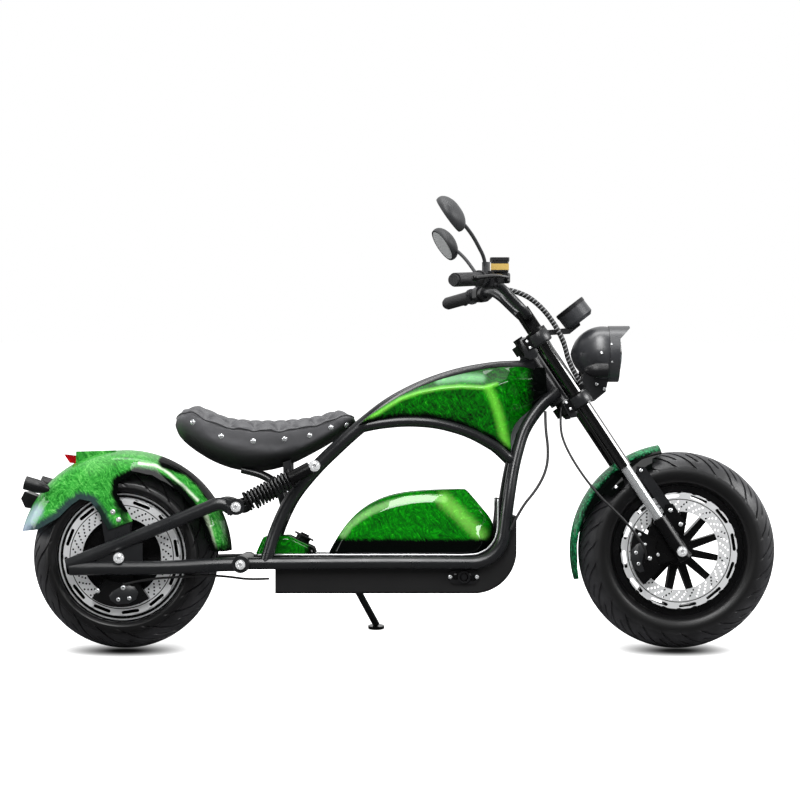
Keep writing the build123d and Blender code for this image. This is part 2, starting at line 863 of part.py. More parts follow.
# seat rails: bent bars from the struts to the underside of the seat
seat_bar_route = [
    (-286, 66, 352),
    (-300, 64, 404),
    (-338, 60, 432),
    (-392, 56, 446),
]
with BuildPart() as seat_frame:
    add(swept_tube(seat_bar_route, seat_bar_radius))
    mirror(about=Plane.XZ)
    with BuildSketch(Plane.XZ.offset(-78)):
        Polygon((-287, 405), (-268, 405), (-270, 486), (-289, 480), align=None)
    extrude(amount=156)
    with BuildSketch(Plane.XZ.offset(-80)):
        with Locations((-289, 352)):
            Circle(seat_bar_radius)
    extrude(amount=160)
    add(seat.part, mode=Mode.SUBTRACT)
    add(top_cutter.part, mode=Mode.SUBTRACT)
seat_frame.part.label = "seat_frame"

# ------------------------------------------------------------------ rear arm
lower_arm_route = [(-806, swing_y, 205), (-560, swing_y, 207), (-450, swing_y, 214), (pivot_x, swing_y, pivot_z)]
upper_arm_route = [
    (-812, swing_y, 212),
    (-478, swing_y, 350),
    (-438, swing_y, 366),
    (-404, swing_y, 346),
]
shock_low = Vector(-399, swing_y, 355)
shock_high = Vector(-208, swing_y, 455)
with BuildPart() as swing_arm:
    add(swept_tube(lower_arm_route, swing_tube_radius))
    add(swept_tube(upper_arm_route, swing_tube_radius - 1))
    with BuildSketch(side_plane(swing_y + swing_lug_half)):
        with Locations((pivot_x, pivot_z)):
            Circle(pivot_lug_radius)
    extrude(amount=2 * swing_lug_half)
    with BuildSketch(side_plane(swing_y + 4)):
        Polygon((-740, 210), (-628, 214), (-628, 268), (-740, 236), align=None)
    extrude(amount=8)
    # cheeks for the shock's eye
    with BuildSketch(side_plane(swing_y + shock_eye_half + shock_cheek)):
        with Locations((shock_low.X, shock_low.Z)):
            Circle(20)
        Polygon((-424, 372), (-395, 372), (-392, 338), (-420, 334), align=None)
    extrude(amount=2 * (shock_eye_half + shock_cheek))
    with BuildSketch(side_plane(swing_y + shock_eye_half + stand_gap)):
        with Locations((shock_low.X, shock_low.Z)):
            Circle(17)
        Polygon(
            (shock_low.X, shock_low.Z + 17), (-370, 390), (-370, 330), (shock_low.X, shock_low.Z - 17),
            align=None,
        )
    extrude(amount=2 * (shock_eye_half + stand_gap), mode=Mode.SUBTRACT)
    with BuildSketch(side_plane(swing_y + 40)):
        with Locations((pivot_x, pivot_z)):
            Circle(pivot_bolt_radius + clamp_fit)
        with Locations((shock_low.X, shock_low.Z)):
            Circle(shock_bolt_radius + clamp_fit)
        with Locations((rear_axle_x, rear_axle_z)):
            Circle(rear_axle_radius + clamp_fit)
    extrude(amount=80, mode=Mode.SUBTRACT)
    # caps that close the pointed rear corner
    with BuildSketch(Plane(origin=(-798, 0, 0), x_dir=(0, 1, 0), z_dir=(-1, 0, 0))):
        with Locations((swing_y, 210)):
            Rectangle(60, 80)
    extrude(amount=60, mode=Mode.SUBTRACT)
    mirror(about=Plane.XZ)
swing_arm.part.label = "swing_arm"

with BuildPart() as arm_cutter:
    add(swept_tube(upper_arm_route, swing_tube_radius - 1 + weld_gap))
    add(swept_tube(lower_arm_route, swing_tube_radius + weld_gap))
    mirror(about=Plane.XZ)

# shocks: eye, rod and body on the line between the two bolts
shock_line = shock_high - shock_low
shock_length = shock_line.length
shock_plane = Plane(origin=shock_low, x_dir=(0, 1, 0), z_dir=shock_line.normalized())
with BuildPart() as shock_bodies:
    for end in (shock_low, shock_high):
        with BuildSketch(side_plane(swing_y + shock_eye_half)):
            with Locations((end.X, end.Z)):
                Circle(shock_eye_radius)
        extrude(amount=2 * shock_eye_half)
    with BuildSketch(shock_plane):
        Circle(shock_rod_radius)
    extrude(amount=shock_length)
    with BuildSketch(shock_plane.offset(spring_start - perch_height)):
        Circle(perch_radius)
    extrude(amount=perch_height)
    with BuildSketch(shock_plane.offset(spring_start + spring_length)):
        Circle(perch_radius)
    extrude(amount=perch_height)
    with BuildSketch(shock_plane.offset(spring_start + spring_length)):
        Circle(shock_body_radius)
    extrude(amount=shock_length - spring_start - spring_length - shock_eye_radius)
    with BuildSketch(side_plane(swing_y + shock_eye_half)):
        with Locations((shock_low.X, shock_low.Z), (shock_high.X, shock_high.Z)):
            Circle(shock_bolt_radius + clamp_fit)
    extrude(amount=2 * shock_eye_half, mode=Mode.SUBTRACT)
    mirror(about=Plane.XZ)
shock_bodies.part.label = "shock_bodies"

with BuildPart() as shock_springs:
    with BuildSketch(shock_plane.offset(spring_start)):
        Circle(spring_radius)
        Circle(spring_radius - spring_wire, mode=Mode.SUBTRACT)
    extrude(amount=spring_length)
    mirror(about=Plane.XZ)
shock_springs.part.label = "shock_springs"

with BuildPart() as arm_bolts:
    low_head = swing_y + shock_eye_half + shock_cheek
    with BuildSketch(side_plane(low_head + 1)):
        with Locations((shock_low.X, shock_low.Z)):
            Circle(shock_bolt_radius)
    extrude(amount=2 * (shock_eye_half + shock_cheek) + 1)
    with BuildSketch(side_plane(low_head + 6)):
        with Locations((shock_low.X, shock_low.Z)):
            Circle(9)
    extrude(amount=5)
    with BuildSketch(side_plane(swing_y + shock_eye_half)):
        with Locations((shock_high.X, shock_high.Z)):
            Circle(shock_bolt_radius)
    extrude(amount=swing_y + shock_eye_half - strut_y)
    with BuildSketch(side_plane(swing_y + shock_eye_half + 5)):
        with Locations((shock_high.X, shock_high.Z)):
            Circle(12)
    extrude(amount=5)
    with BuildSketch(side_plane(swing_y - shock_eye_half)):
        with Locations((shock_high.X, shock_high.Z)):
            Circle(11)
    extrude(amount=swing_y - shock_eye_half - strut_y)
    add(top_cutter.part, mode=Mode.SUBTRACT)
    mirror(about=Plane.XZ)
    with BuildSketch(Plane.XZ.offset(-pivot_bolt_half)):
        with Locations((pivot_x, pivot_z)):
            Circle(pivot_bolt_radius)
    extrude(amount=2 * pivot_bolt_half)
    for face in (-pivot_bolt_half - bolt_head, pivot_bolt_half):
        with BuildSketch(Plane.XZ.offset(face)):
            with Locations((pivot_x, pivot_z)):
                RegularPolygon(bolt_head_radius, 6)
        extrude(amount=bolt_head)
arm_bolts.part.label = "arm_bolts"

# ---------------------------------------------------------------- mudguards
def radial_plane(x, z, angle):
    """Plane through a wheel's axis; y runs out along the radius at angle."""
    a = radians(angle)
    return Plane(origin=(x, 0, z), x_dir=(0, 1, 0), z_dir=(sin(a), 0, -cos(a)))


def guard_body(x, z, radius, half_width, skirt, start, end):
    """A solid guard: a round-shouldered section turned about the wheel."""
    with BuildPart() as guard:
        with BuildSketch(radial_plane(x, z, start)):
            with BuildLine():
                Polyline((half_width, radius - 58), (half_width, skirt), (-half_width, skirt))
                Line((-half_width, skirt), (-half_width, radius - 58))
                ThreePointArc(
                    (-half_width, radius - 58),
                    (-half_width * 0.88, radius - 26),
                    (-half_width * 0.6, radius - 9),
                )
                ThreePointArc(
                    (-half_width * 0.6, radius - 9), (0, radius), (half_width * 0.6, radius - 9)
                )
                ThreePointArc(
                    (half_width * 0.6, radius - 9),
                    (half_width * 0.88, radius - 26),
                    (half_width, radius - 58),
                )
            make_face()
        revolve(axis=Axis((x, 0, z), (0, -1, 0)), revolution_arc=end - start)
    return guard.part


def guard_shell(x, z, radius, half_width, skirt, start, end):
    """The guard's sheet, open towards the wheel."""
    with BuildPart() as shell:
        add(guard_body(x, z, radius, half_width, skirt, start, end))
        inner = guard_body(
            x, z, radius - guard_wall, half_width - guard_wall, skirt - 5, start - 2, end + 2
        )
        add(inner, mode=Mode.SUBTRACT)
    return shell.part


rear_guard_side = [
    (-948, 292), (-888, 299), (-836, 329), (-806, 359), (-784, 374), (-758, 368),
    (-738, 340), (-714, 298), (-655, 320), (-672, 352), (-694, 388), (-690, 416),
    (-647, 438), (-608, 433), (-542, 394), (-500, 342), (-478, 293), (-462, 246),
    (-380, 240), (-380, 300), (-400, 420), (-500, 520), (-640, 560), (-800, 540),
    (-930, 440), (-985, 330),
]
with BuildPart() as rear_guard_inside:
    add(
        guard_body(
            rear_axle_x,
            rear_axle_z,
            rear_guard_radius - guard_wall,
            rear_guard_half_width - guard_wall,
            rear_guard_skirt - 5,
            rear_guard_start - 2,
            rear_guard_end + 2,
        )
    )

with BuildPart() as rear_guard:
    add(
        guard_shell(
            rear_axle_x,
            rear_axle_z,
            rear_guard_radius,
            rear_guard_half_width,
            rear_guard_skirt,
            rear_guard_start,
            rear_guard_end,
        )
    )
    with BuildSketch(side_plane(rear_guard_half_width + 5)):
        Polygon(*rear_guard_side, align=None)
    extrude(amount=2 * rear_guard_half_width + 10, mode=Mode.INTERSECT)
    with BuildSketch(side_plane(lamp_half_width)):
        Polygon((-804, 491), (-706, 494), (-700, 470), (-804, 440), align=None)
    extrude(amount=2 * lamp_half_width)
    add(rear_guard_inside.part, mode=Mode.SUBTRACT)
rear_guard.part.label = "rear_guard"

with BuildPart() as rear_guard_cutter:
    add(
        guard_body(
            rear_axle_x,
            rear_axle_z,
            rear_guard_radius + weld_gap,
            rear_guard_half_width + weld_gap,
            rear_guard_skirt,
            rear_guard_start - 2,
            rear_guard_end + 4,
        )
    )

with BuildPart() as guard_brackets:
    inside = rear_guard_half_width - guard_wall - weld_gap
    with BuildSketch(side_plane(inside)):
        Polygon((-736, 346), (-690, 366), (-656, 316), (-664, 264), (-722, 260), align=None)
    extrude(amount=bracket_plate)
    with BuildSketch(side_plane(swing_y)):
        Polygon((-716, 292), (-660, 314), (-656, 264), (-722, 260), align=None)
    extrude(amount=swing_y - inside)
    add(arm_cutter.part, mode=Mode.SUBTRACT)
    add(rear_guard.part, mode=Mode.SUBTRACT)
    mirror(about=Plane.XZ)
guard_brackets.part.label = "guard_brackets"

with BuildPart() as tail_lamp:
    with BuildSketch(side_plane(lamp_half_width - 3)):
        Polygon((-834, 484), (-804, 480), (-804, 461), (-820, 463), align=None)
    extrude(amount=2 * lamp_half_width - 6)
    add(rear_guard_cutter.part, mode=Mode.SUBTRACT)
tail_lamp.part.label = "tail_lamp"


def indicator(x, y, z, direction, length, radius):
    """A bullet-shaped indicator whose lens faces along direction."""
    with BuildPart() as pod:
        with BuildSketch(Plane(origin=(x, y, z), x_dir=(0, 1, 0), z_dir=direction)):
            Circle(radius)
        extrude(amount=length * 0.35)
        with BuildSketch(Plane(origin=(x, y, z), x_dir=(0, 1, 0), z_dir=direction)):
            Circle(radius)
        with BuildSketch(
            Plane(origin=(x, y, z), x_dir=(0, 1, 0), z_dir=direction).offset(-length * 0.45)
        ):
            Circle(radius * 0.72)
        with BuildSketch(
            Plane(origin=(x, y, z), x_dir=(0, 1, 0), z_dir=direction).offset(-length * 0.65)
        ):
            Circle(radius * 0.25)
        loft()
    return pod.part


with BuildPart() as rear_indicators:
    add(indicator(-896, 122, 408, (-0.96, 0, 0.28), 62, 17))
    with BuildSketch(Plane.XZ.offset(-120)):
        with Locations((-885, 401)):
            Circle(6)
    extrude(amount=80)
    mirror(about=Plane.XZ)
    with BuildSketch(side_plane(46)):
        Polygon((-940, 374), (-931, 392), (-880, 372), (-897, 346), (-930, 352), align=None)
    extrude(amount=92)
    add(rear_guard_cutter.part, mode=Mode.SUBTRACT)
rear_indicators.part.label = "rear_indicators"


# ------------------------------------------------------------------- brakes
def caliper(x, y, z, angle, outer_reach, inner_reach):
    """A caliper straddling the disc's inner edge; its back is at y - reach."""
    a = radians(angle)
    toward = (cos(a), 0, sin(a))
    face_low = y - disc_thickness / 2 - pad_gap
    face_high = y + disc_thickness / 2 + pad_gap
    with BuildPart() as block:
        with BuildSketch(wheel_plane(x, face_low - outer_reach, z)) as outline:
            with BuildLine():
                CenterArc((0, 0), caliper_outer, -caliper_span / 2, caliper_span)
                CenterArc((0, 0), caliper_inner, -caliper_span / 2, caliper_span)
                for side in (-1, 1):
                    Line(
                        (caliper_inner * cos(radians(caliper_span / 2)),
                         side * caliper_inner * sin(radians(caliper_span / 2))),
                        (caliper_outer * cos(radians(caliper_span / 2)),
                         side * caliper_outer * sin(radians(caliper_span / 2))),
                    )
            make_face()
        extrude(amount=outer_reach + disc_thickness + 2 * pad_gap + inner_reach)
        with BuildSketch(wheel_plane(x, face_low, z)):
            Circle(caliper_outer + 40)
            Circle(disc_inner_radius - 5, mode=Mode.SUBTRACT)
        extrude(amount=face_high - face_low, mode=Mode.SUBTRACT)
    return block.part.rotate(Axis((x, 0, z), (0, 1, 0)), -angle)


with BuildPart() as rear_caliper:
    add(caliper(rear_axle_x, rear_disc_y, rear_axle_z, 270, 24, 13))
    with BuildSketch(side_plane(rear_carrier_y)):
        with Locations((rear_axle_x, rear_axle_z)):
            Circle(24)
        Polygon(
            (rear_axle_x - 22, rear_axle_z), (rear_axle_x + 22, rear_axle_z),
            (rear_axle_x + 34, rear_axle_z - 76), (rear_axle_x - 34, rear_axle_z - 76), align=None,
        )
    extrude(amount=carrier_thickness)
    with BuildSketch(side_plane(rear_carrier_y)):
        with Locations((rear_axle_x, rear_axle_z)):
            Circle(axle_spacer_radius + clamp_fit)
    extrude(amount=carrier_thickness, mode=Mode.SUBTRACT)
    add(arm_cutter.part, mode=Mode.SUBTRACT)
rear_caliper.part.label = "rear_caliper"


def axle(x, z, radius, half_length, spacer_radius, spacer_from, spacer_to):
    """A through axle with a spacer each side and hexagon heads."""
    with BuildPart() as shaft:
        with BuildSketch(Plane.XZ.offset(-half_length)):
            with Locations((x, z)):
                Circle(radius)
        extrude(amount=2 * half_length)
        for start in (-spacer_to, spacer_from):
            with BuildSketch(Plane.XZ.offset(start)):
                with Locations((x, z)):
                    Circle(spacer_radius)
            extrude(amount=spacer_to - spacer_from)
        for start in (-half_length - axle_head, half_length):
            with BuildSketch(Plane.XZ.offset(start)):
                with Locations((x, z)):
                    RegularPolygon(axle_head_radius, 6)
            extrude(amount=axle_head)
    return shaft.part


with BuildPart() as rear_axle:
    add(
        axle(
            rear_axle_x,
            rear_axle_z,
            rear_axle_radius,
            swing_y + 4 + 8,
            axle_spacer_radius,
            motor_boss_y + pad_gap,
            swing_y - 4,
        )
    )
    add(arm_cutter.part, mode=Mode.SUBTRACT)
rear_axle.part.label = "rear_axle"

# ---------------------------------------------------------------------- fork
stanchion_high = outer_tube_low + 210
with BuildPart() as fork_outers:
    with BuildSketch(fork_level(outer_tube_low)):
        with Locations((0, leg_y), (0, -leg_y)):
            Circle(outer_tube_radius)
    extrude(amount=outer_tube_high - outer_tube_low)
    with BuildSketch(fork_level(outer_tube_low)):
        with Locations((0, leg_y), (0, -leg_y)):
            Circle(stanchion_radius + clamp_fit)
    extrude(amount=stanchion_high + 1 - outer_tube_low, mode=Mode.SUBTRACT)
fork_outers.part.label = "fork_outers"

stanchion_low = 34.0
with BuildPart() as stanchions:
    with BuildSketch(fork_level(stanchion_low)):
        with Locations((0, leg_y), (0, -leg_y)):
            Circle(stanchion_radius)
    extrude(amount=stanchion_high - stanchion_low)
stanchions.part.label = "stanchions"

brace_y = leg_y - lug_radius - clamp_fit * 2
with BuildPart() as fork_lugs:
    with BuildSketch(fork_level(lug_low)):
        with Locations((0, leg_y), (0, -leg_y)):
            Circle(lug_radius)
    extrude(amount=lug_high - lug_low)
    chamfer(fork_lugs.edges().filter_by(GeomType.CIRCLE), 2)
    # ears that carry the guard's braces
    for near in (brace_y + clamp_fit + lug_ear, -brace_y - clamp_fit):
        with BuildSketch(side_plane(near)):
            Polygon(
                fork_point(0, 0, 88)[::2], (654, 360), (672, 362), (706, 312), (694, 298),
                fork_point(0, 0, 50)[::2], align=None,
            )
        extrude(amount=lug_ear)
    with BuildSketch(fork_level(stanchion_low)):
        with Locations((0, leg_y), (0, -leg_y)):
            Circle(stanchion_radius + clamp_fit)
    extrude(amount=lug_high - stanchion_low, mode=Mode.SUBTRACT)
    with BuildSketch(Plane.XZ.offset(-leg_y - 40)):
        with Locations((front_axle_x, front_axle_z)):
            Circle(front_axle_radius + clamp_fit)
    extrude(amount=2 * leg_y + 80, mode=Mode.SUBTRACT)
fork_lugs.part.label = "fork_lugs"

with BuildPart() as front_axle:
    add(
        axle(
            front_axle_x,
            front_axle_z,
            front_axle_radius,
            leg_y + lug_radius + 1,
            12.0,
            front_hub_width / 2 + pad_gap,
            leg_y - lug_radius,
        )
    )
front_axle.part.label = "front_axle"


def clamp_plate(w):
    """One fork clamp: two split rings and the stem's boss on a flat bridge."""
    low = w - clamp_height / 2
    with BuildPart() as clamp:
        with BuildSketch(fork_level(low)):
            with Locations((0, leg_y), (0, -leg_y)):
                Circle(clamp_radius)
        extrude(amount=clamp_height)
        with BuildSketch(fork_level(low + 6)):
            with Locations((-fork_offset, 0)):
                Circle(clamp_radius)
            Polygon(
                (-fork_offset - 18, 0), (-fork_offset - 12, 24), (-32, leg_y), (16, leg_y),
                (0, 30), (0, -30), (16, -leg_y), (-32, -leg_y), (-fork_offset - 12, -24),
                align=None,
            )
        extrude(amount=clamp_height - 12)
        with BuildSketch(fork_level(low)):
            with Locations((0, leg_y), (0, -leg_y)):
                Circle(outer_tube_radius + clamp_fit)
            with Locations((-fork_offset, 0)):
                Circle(stem_radius + clamp_fit)
        extrude(amount=clamp_height, mode=Mode.SUBTRACT)
        # the clamping ears behind each ring
        with BuildSketch(fork_level(low + 3)):
            for side in (-1, 1):
                with Locations((-clamp_radius - 5, side * leg_y)):
                    Rectangle(20, 26)
        extrude(amount=clamp_height - 6)
    return clamp.part


with BuildPart() as lower_clamp:
    add(clamp_plate(lower_clamp_w))
    with BuildSketch(fork_level(lower_clamp_w - clamp_height / 2, -fork_offset)):
        Circle(stem_radius)
    extrude(amount=top_clamp_w - lower_clamp_w + clamp_height + 8)
lower_clamp.part.label = "lower_clamp"

# ----------------------------------------------------------------- handlebar
# The top clamp carries two risers that grip the bar's middle.
bar_w = top_clamp_w + bar_rise
bar_u = 8.0
bar_foot = Vector(*fork_point(bar_u, 0, bar_w))
bar_elbow = Vector(*fork_point(bar_u, 92, bar_w))
bar_knee = Vector(*fork_point(-12, 112, 792))
bar_turn = Vector(203, 252, 902)
bar_end = Vector(128, 372, 889)
with BuildPart() as top_clamp:
    add(clamp_plate(top_clamp_w))
    with BuildSketch(fork_level(top_clamp_w, bar_u)):
        with Locations((0, riser_y), (0, -riser_y)):
            RectangleRounded(32, 24, 4)
    extrude(amount=bar_w + bar_radius + 9 - top_clamp_w)
    with BuildSketch(fork_level(top_clamp_w - clamp_height, -fork_offset)):
        Circle(stem_radius + clamp_fit)
    extrude(amount=2 * clamp_height, mode=Mode.SUBTRACT)
    with BuildSketch(Plane.XZ.offset(-riser_y - 20)):
        with Locations((bar_foot.X, bar_foot.Z)):
            Circle(bar_radius + clamp_fit)
    extrude(amount=2 * riser_y + 40, mode=Mode.SUBTRACT)
top_clamp.part.label = "top_clamp"

with BuildPart() as handlebar:
    with BuildLine() as bar_line:
        FilletPolyline(bar_foot, bar_elbow, bar_knee, bar_turn, bar_end, radius=[42, 52, 60])
    with BuildSketch(bar_line.line ^ 0):
        Circle(bar_radius)
    sweep()
    mirror(about=Plane.XZ)
handlebar.part.label = "handlebar"

# stations on the bar: out along the grip, and in along the run before it
grip_line = (bar_turn - bar_end).normalized()
grip_plane = Plane(origin=bar_end, x_dir=(0, 0, 1), z_dir=grip_line)
inner_line = (bar_knee - bar_turn).normalized()
inner_plane = Plane(origin=bar_turn, x_dir=(0, 0, 1), z_dir=inner_line)
with BuildPart() as grips:
    with BuildSketch(grip_plane.offset(-8)):
        Circle(grip_radius - 3)
    extrude(amount=8)
    with BuildSketch(grip_plane):
        Circle(grip_radius)
        Circle(bar_radius + clamp_fit, mode=Mode.SUBTRACT)
    extrude(amount=grip_length)
    with BuildSketch(grip_plane.offset(grip_length - 7)):
        Circle(grip_radius + 4)
        Circle(bar_radius + clamp_fit, mode=Mode.SUBTRACT)
    extrude(amount=7)
    mirror(about=Plane.XZ)
grips.part.label = "grips"

with BuildPart() as switch_housings:
    with BuildSketch(inner_plane.offset(12)):
        RectangleRounded(40, 38, 12)
        Circle(bar_radius + clamp_fit, mode=Mode.SUBTRACT)
    extrude(amount=34)
    mirror(about=Plane.XZ)

lever_root = inner_plane.offset(60).origin
with BuildPart() as brake_masters:
    with BuildSketch(inner_plane.offset(50)):
        Circle(bar_radius + 7)
        with Locations((8, -26)):
            RectangleRounded(26, 36, 5)
        Circle(bar_radius + clamp_fit, mode=Mode.SUBTRACT)
    extrude(amount=26)
    mirror(about=Plane.XZ)

lever_tip = grip_plane.from_local_coords(Vector(2, -50, 8))
lever_bend = grip_plane.from_local_coords(Vector(6, -52, 104))
lever_base = inner_plane.from_local_coords(Vector(8, -40, 62))
with BuildPart() as brake_levers:
    add(swept_tube([tuple(lever_tip), tuple(lever_bend), tuple(lever_base)], lever_radius))
    with Locations(lever_tip):
        Sphere(lever_radius + 3)
    add(brake_masters.part, mode=Mode.SUBTRACT)
    mirror(about=Plane.XZ)
brake_levers.part.label = "brake_levers"

# fluid reservoirs: a clear upright one on the right, a flat one on the left
master_top = lever_root.Z + 21
with BuildPart() as fluid_reservoir:
    with BuildSketch(Plane.XY.offset(master_top + weld_gap)):
        with Locations((240, -198)):
            RectangleRounded(42, 40, 6)
    extrude(amount=26)
fluid_reservoir.part.label = "fluid_reservoir"
with BuildPart() as bar_controls:
    add(switch_housings.part)
    add(brake_masters.part)
    with BuildSketch(Plane.XY.offset(master_top + weld_gap + 26)):
        with Locations((240, -198)):
            RectangleRounded(46, 44, 6)
    extrude(amount=8)
    with BuildSketch(Plane.XY.offset(master_top + weld_gap)):
        with Locations((238, 200)):
            RectangleRounded(50, 46, 6)
    extrude(amount=14)
bar_controls.part.label = "bar_controls"

# mirrors: a bent stem and an oval shell with the glass in its face
mirror_centre = Vector(112, 350, 1041)
mirror_facing = Vector(-0.80, -0.16, -0.55).normalized()
mirror_plane = Plane(origin=mirror_centre, x_dir=(-0.16, 0.98, -0.05), z_dir=mirror_facing)
stem_route = [
    (206, 233, 920),
    (201, 245, 954),
    (168, 300, 1008),
    tuple(mirror_centre + mirror_facing * -14),
]
with BuildPart() as mirror_shells:
    with BuildSketch(mirror_plane):
        Ellipse(mirror_width / 2, mirror_height / 2)
    with BuildSketch(mirror_plane.offset(-12)):
        Ellipse(mirror_width / 2 + 1, mirror_height / 2 + 1)
    with BuildSketch(mirror_plane.offset(-26)):
        Ellipse(mirror_width * 0.38, mirror_height * 0.38)
    with BuildSketch(mirror_plane.offset(-33)):
        Ellipse(mirror_width * 0.18, mirror_height * 0.18)
    loft()
    with BuildSketch(mirror_plane):
        Ellipse(mirror_width / 2 - mirror_rim, mirror_height / 2 - mirror_rim)
    extrude(amount=-mirror_glass_depth, mode=Mode.SUBTRACT)
    add(swept_tube(stem_route, mirror_stem_radius))
    with BuildSketch(Plane(origin=(206, 233, 915), z_dir=(0, 0, 1))):
        Circle(mirror_stem_radius + 5)
    extrude(amount=28)
    with BuildSketch(mirror_plane):
        Ellipse(mirror_width / 2 - mirror_rim, mirror_height / 2 - mirror_rim)
    extrude(amount=-mirror_glass_depth, mode=Mode.SUBTRACT)
    mirror(about=Plane.XZ)
    add(bar_controls.part, mode=Mode.SUBTRACT)
mirror_shells.part.label = "mirror_shells"

with BuildPart() as mirror_glass:
    with BuildSketch(mirror_plane.offset(-mirror_glass_depth)):
        Ellipse(mirror_width / 2 - mirror_rim - weld_gap, mirror_height / 2 - mirror_rim - weld_gap)
    extrude(amount=mirror_glass_depth - 0.5)
    mirror(about=Plane.XZ)
mirror_glass.part.label = "mirror_glass"

# -------------------------------------------------------- lamp and instrument
dial_facing = Vector(-0.61, 0, 0.79).normalized()
dial_plane = Plane(origin=(dial_x, 0, dial_z), x_dir=(0, 1, 0), z_dir=dial_facing)
with BuildPart() as speedometer:
    with BuildSketch(dial_plane):
        Circle(dial_radius)
    extrude(amount=-dial_depth)
    chamfer(speedometer.edges().filter_by(GeomType.CIRCLE).group_by(Axis.Z)[0], 8)
    with BuildSketch(dial_plane):
        Circle(dial_radius - 4)
    extrude(amount=-2, mode=Mode.SUBTRACT)
speedometer.part.label = "speedometer"

with BuildPart() as dial_bracket:
    with BuildSketch(side_plane(13)):
        Polygon(
            fork_point(0.1, 0, top_clamp_w - 10)[::2],
            fork_point(30, 0, top_clamp_w - 8)[::2],
            (dial_x + 1, dial_z - 65), (dial_x + 26, dial_z - 45), (dial_x + 22, dial_z - 29),
            (dial_x, dial_z - 51), (dial_x - 56, dial_z - 57),
            fork_point(0.1, 0, top_clamp_w + 10)[::2], align=None,
        )
    extrude(amount=26)
    add(speedometer.part, mode=Mode.SUBTRACT)
    add(top_clamp.part, mode=Mode.SUBTRACT)


def lamp_bowl(growth):
    """The headlamp's bullet-shaped bowl, grown outwards by growth."""
    with BuildPart() as bowl:
        with BuildSketch(side_plane(0)):
            with BuildLine():
                ThreePointArc(
                    (lamp_tail_x - growth, lamp_z),
                    (lamp_tail_x + 27, lamp_z + lamp_radius * 0.72 + growth),
                    (lamp_seam_x, lamp_z + lamp_radius + growth),
                )
                Polyline(
                    (lamp_seam_x, lamp_z + lamp_radius + growth),
                    (lamp_seam_x, lamp_z),
                    (lamp_tail_x - growth, lamp_z),
                )
            make_face()
        revolve(axis=Axis((0, 0, lamp_z), (1, 0, 0)))
    return bowl.part


with BuildPart() as bowl_cutter:
    add(lamp_bowl(weld_gap))

lamp_face = Plane(origin=(lamp_seam_x, 0, lamp_z), x_dir=(0, 1, 0), z_dir=(1, 0, 0))
with BuildPart() as headlamp_shell:
    add(lamp_bowl(0))
    with BuildSketch(lamp_face):
        Circle(lamp_radius + 2)
        Circle(lamp_radius - 6, mode=Mode.SUBTRACT)
    extrude(amount=lamp_rim_depth)
    with BuildSketch(lamp_face.offset(lamp_rim_depth)):
        Circle(lamp_radius + 2)
        Circle(lamp_radius - 1, mode=Mode.SUBTRACT)
    extrude(amount=visor_reach)
    visor_x = lamp_seam_x + lamp_rim_depth
    with BuildSketch(side_plane(lamp_radius + 5)):
        Polygon(
            (visor_x, lamp_z + 34), (visor_x + visor_reach + 1, lamp_z + lamp_radius - 4),
            (visor_x + visor_reach + 1, lamp_z - lamp_radius - 9), (visor_x, lamp_z - lamp_radius - 9),
            align=None,
        )
    extrude(amount=2 * lamp_radius + 10, mode=Mode.SUBTRACT)
headlamp_shell.part.label = "headlamp_shell"

lens_radius = lamp_radius - 6 - weld_gap
lens_ball = (lens_radius**2 + lens_bulge**2) / (2 * lens_bulge)
with BuildPart() as headlamp_lens:
    with BuildSketch(lamp_face.offset(lamp_rim_depth - 12)):
        Circle(lens_radius)
    extrude(amount=12 + lens_bulge)
    with Locations(Pos(visor_x + lens_bulge - lens_ball, 0, lamp_z)):
        Sphere(lens_ball, mode=Mode.INTERSECT)
headlamp_lens.part.label = "headlamp_lens"

with BuildPart() as lamp_brackets:
    add(dial_bracket.part)
    for near in (lamp_ear_y, -lamp_ear_y + lamp_ear):
        with BuildSketch(side_plane(near)):
            Polygon(
                fork_point(0.1, 0, lower_clamp_w - 11)[::2],
                (lamp_seam_x - 36, lamp_z - 118), (lamp_seam_x - 8, lamp_z - 95),
                (lamp_seam_x + 2, lamp_z - 45), (lamp_seam_x - 62, lamp_z - 45),
                fork_point(0.1, 0, lower_clamp_w + 11)[::2], align=None,
            )
        extrude(amount=lamp_ear)
    with BuildSketch(side_plane(lamp_ear_y)):
        Polygon(
            (lamp_seam_x - 58, lamp_z - 95), (lamp_seam_x - 20, lamp_z - 95),
            (lamp_seam_x - 20, lamp_z - 89), (lamp_seam_x - 58, lamp_z - 89), align=None,
        )
    extrude(amount=2 * lamp_ear_y)
    add(bowl_cutter.part, mode=Mode.SUBTRACT)
    add(lower_clamp.part, mode=Mode.SUBTRACT)
lamp_brackets.part.label = "lamp_brackets"

with BuildPart() as front_indicators:
    add(indicator(lamp_seam_x - 29, 96, lamp_z - 45, (1, 0, 0), 57, 18))
    with BuildSketch(Plane.XZ.offset(-92)):
        with Locations((lamp_seam_x - 36, lamp_z - 45)):
            Circle(5)
    extrude(amount=70)
    add(bowl_cutter.part, mode=Mode.SUBTRACT)
    mirror(about=Plane.XZ)
front_indicators.part.label = "front_indicators"

# -------------------------------------------------------- front guard, caliper
def round_wheel(x, z, places):
    """Points about a wheel's axis, each given as (angle, radius)."""
    return [(x + r * cos(radians(a)), z + r * sin(radians(a))) for a, r in places]


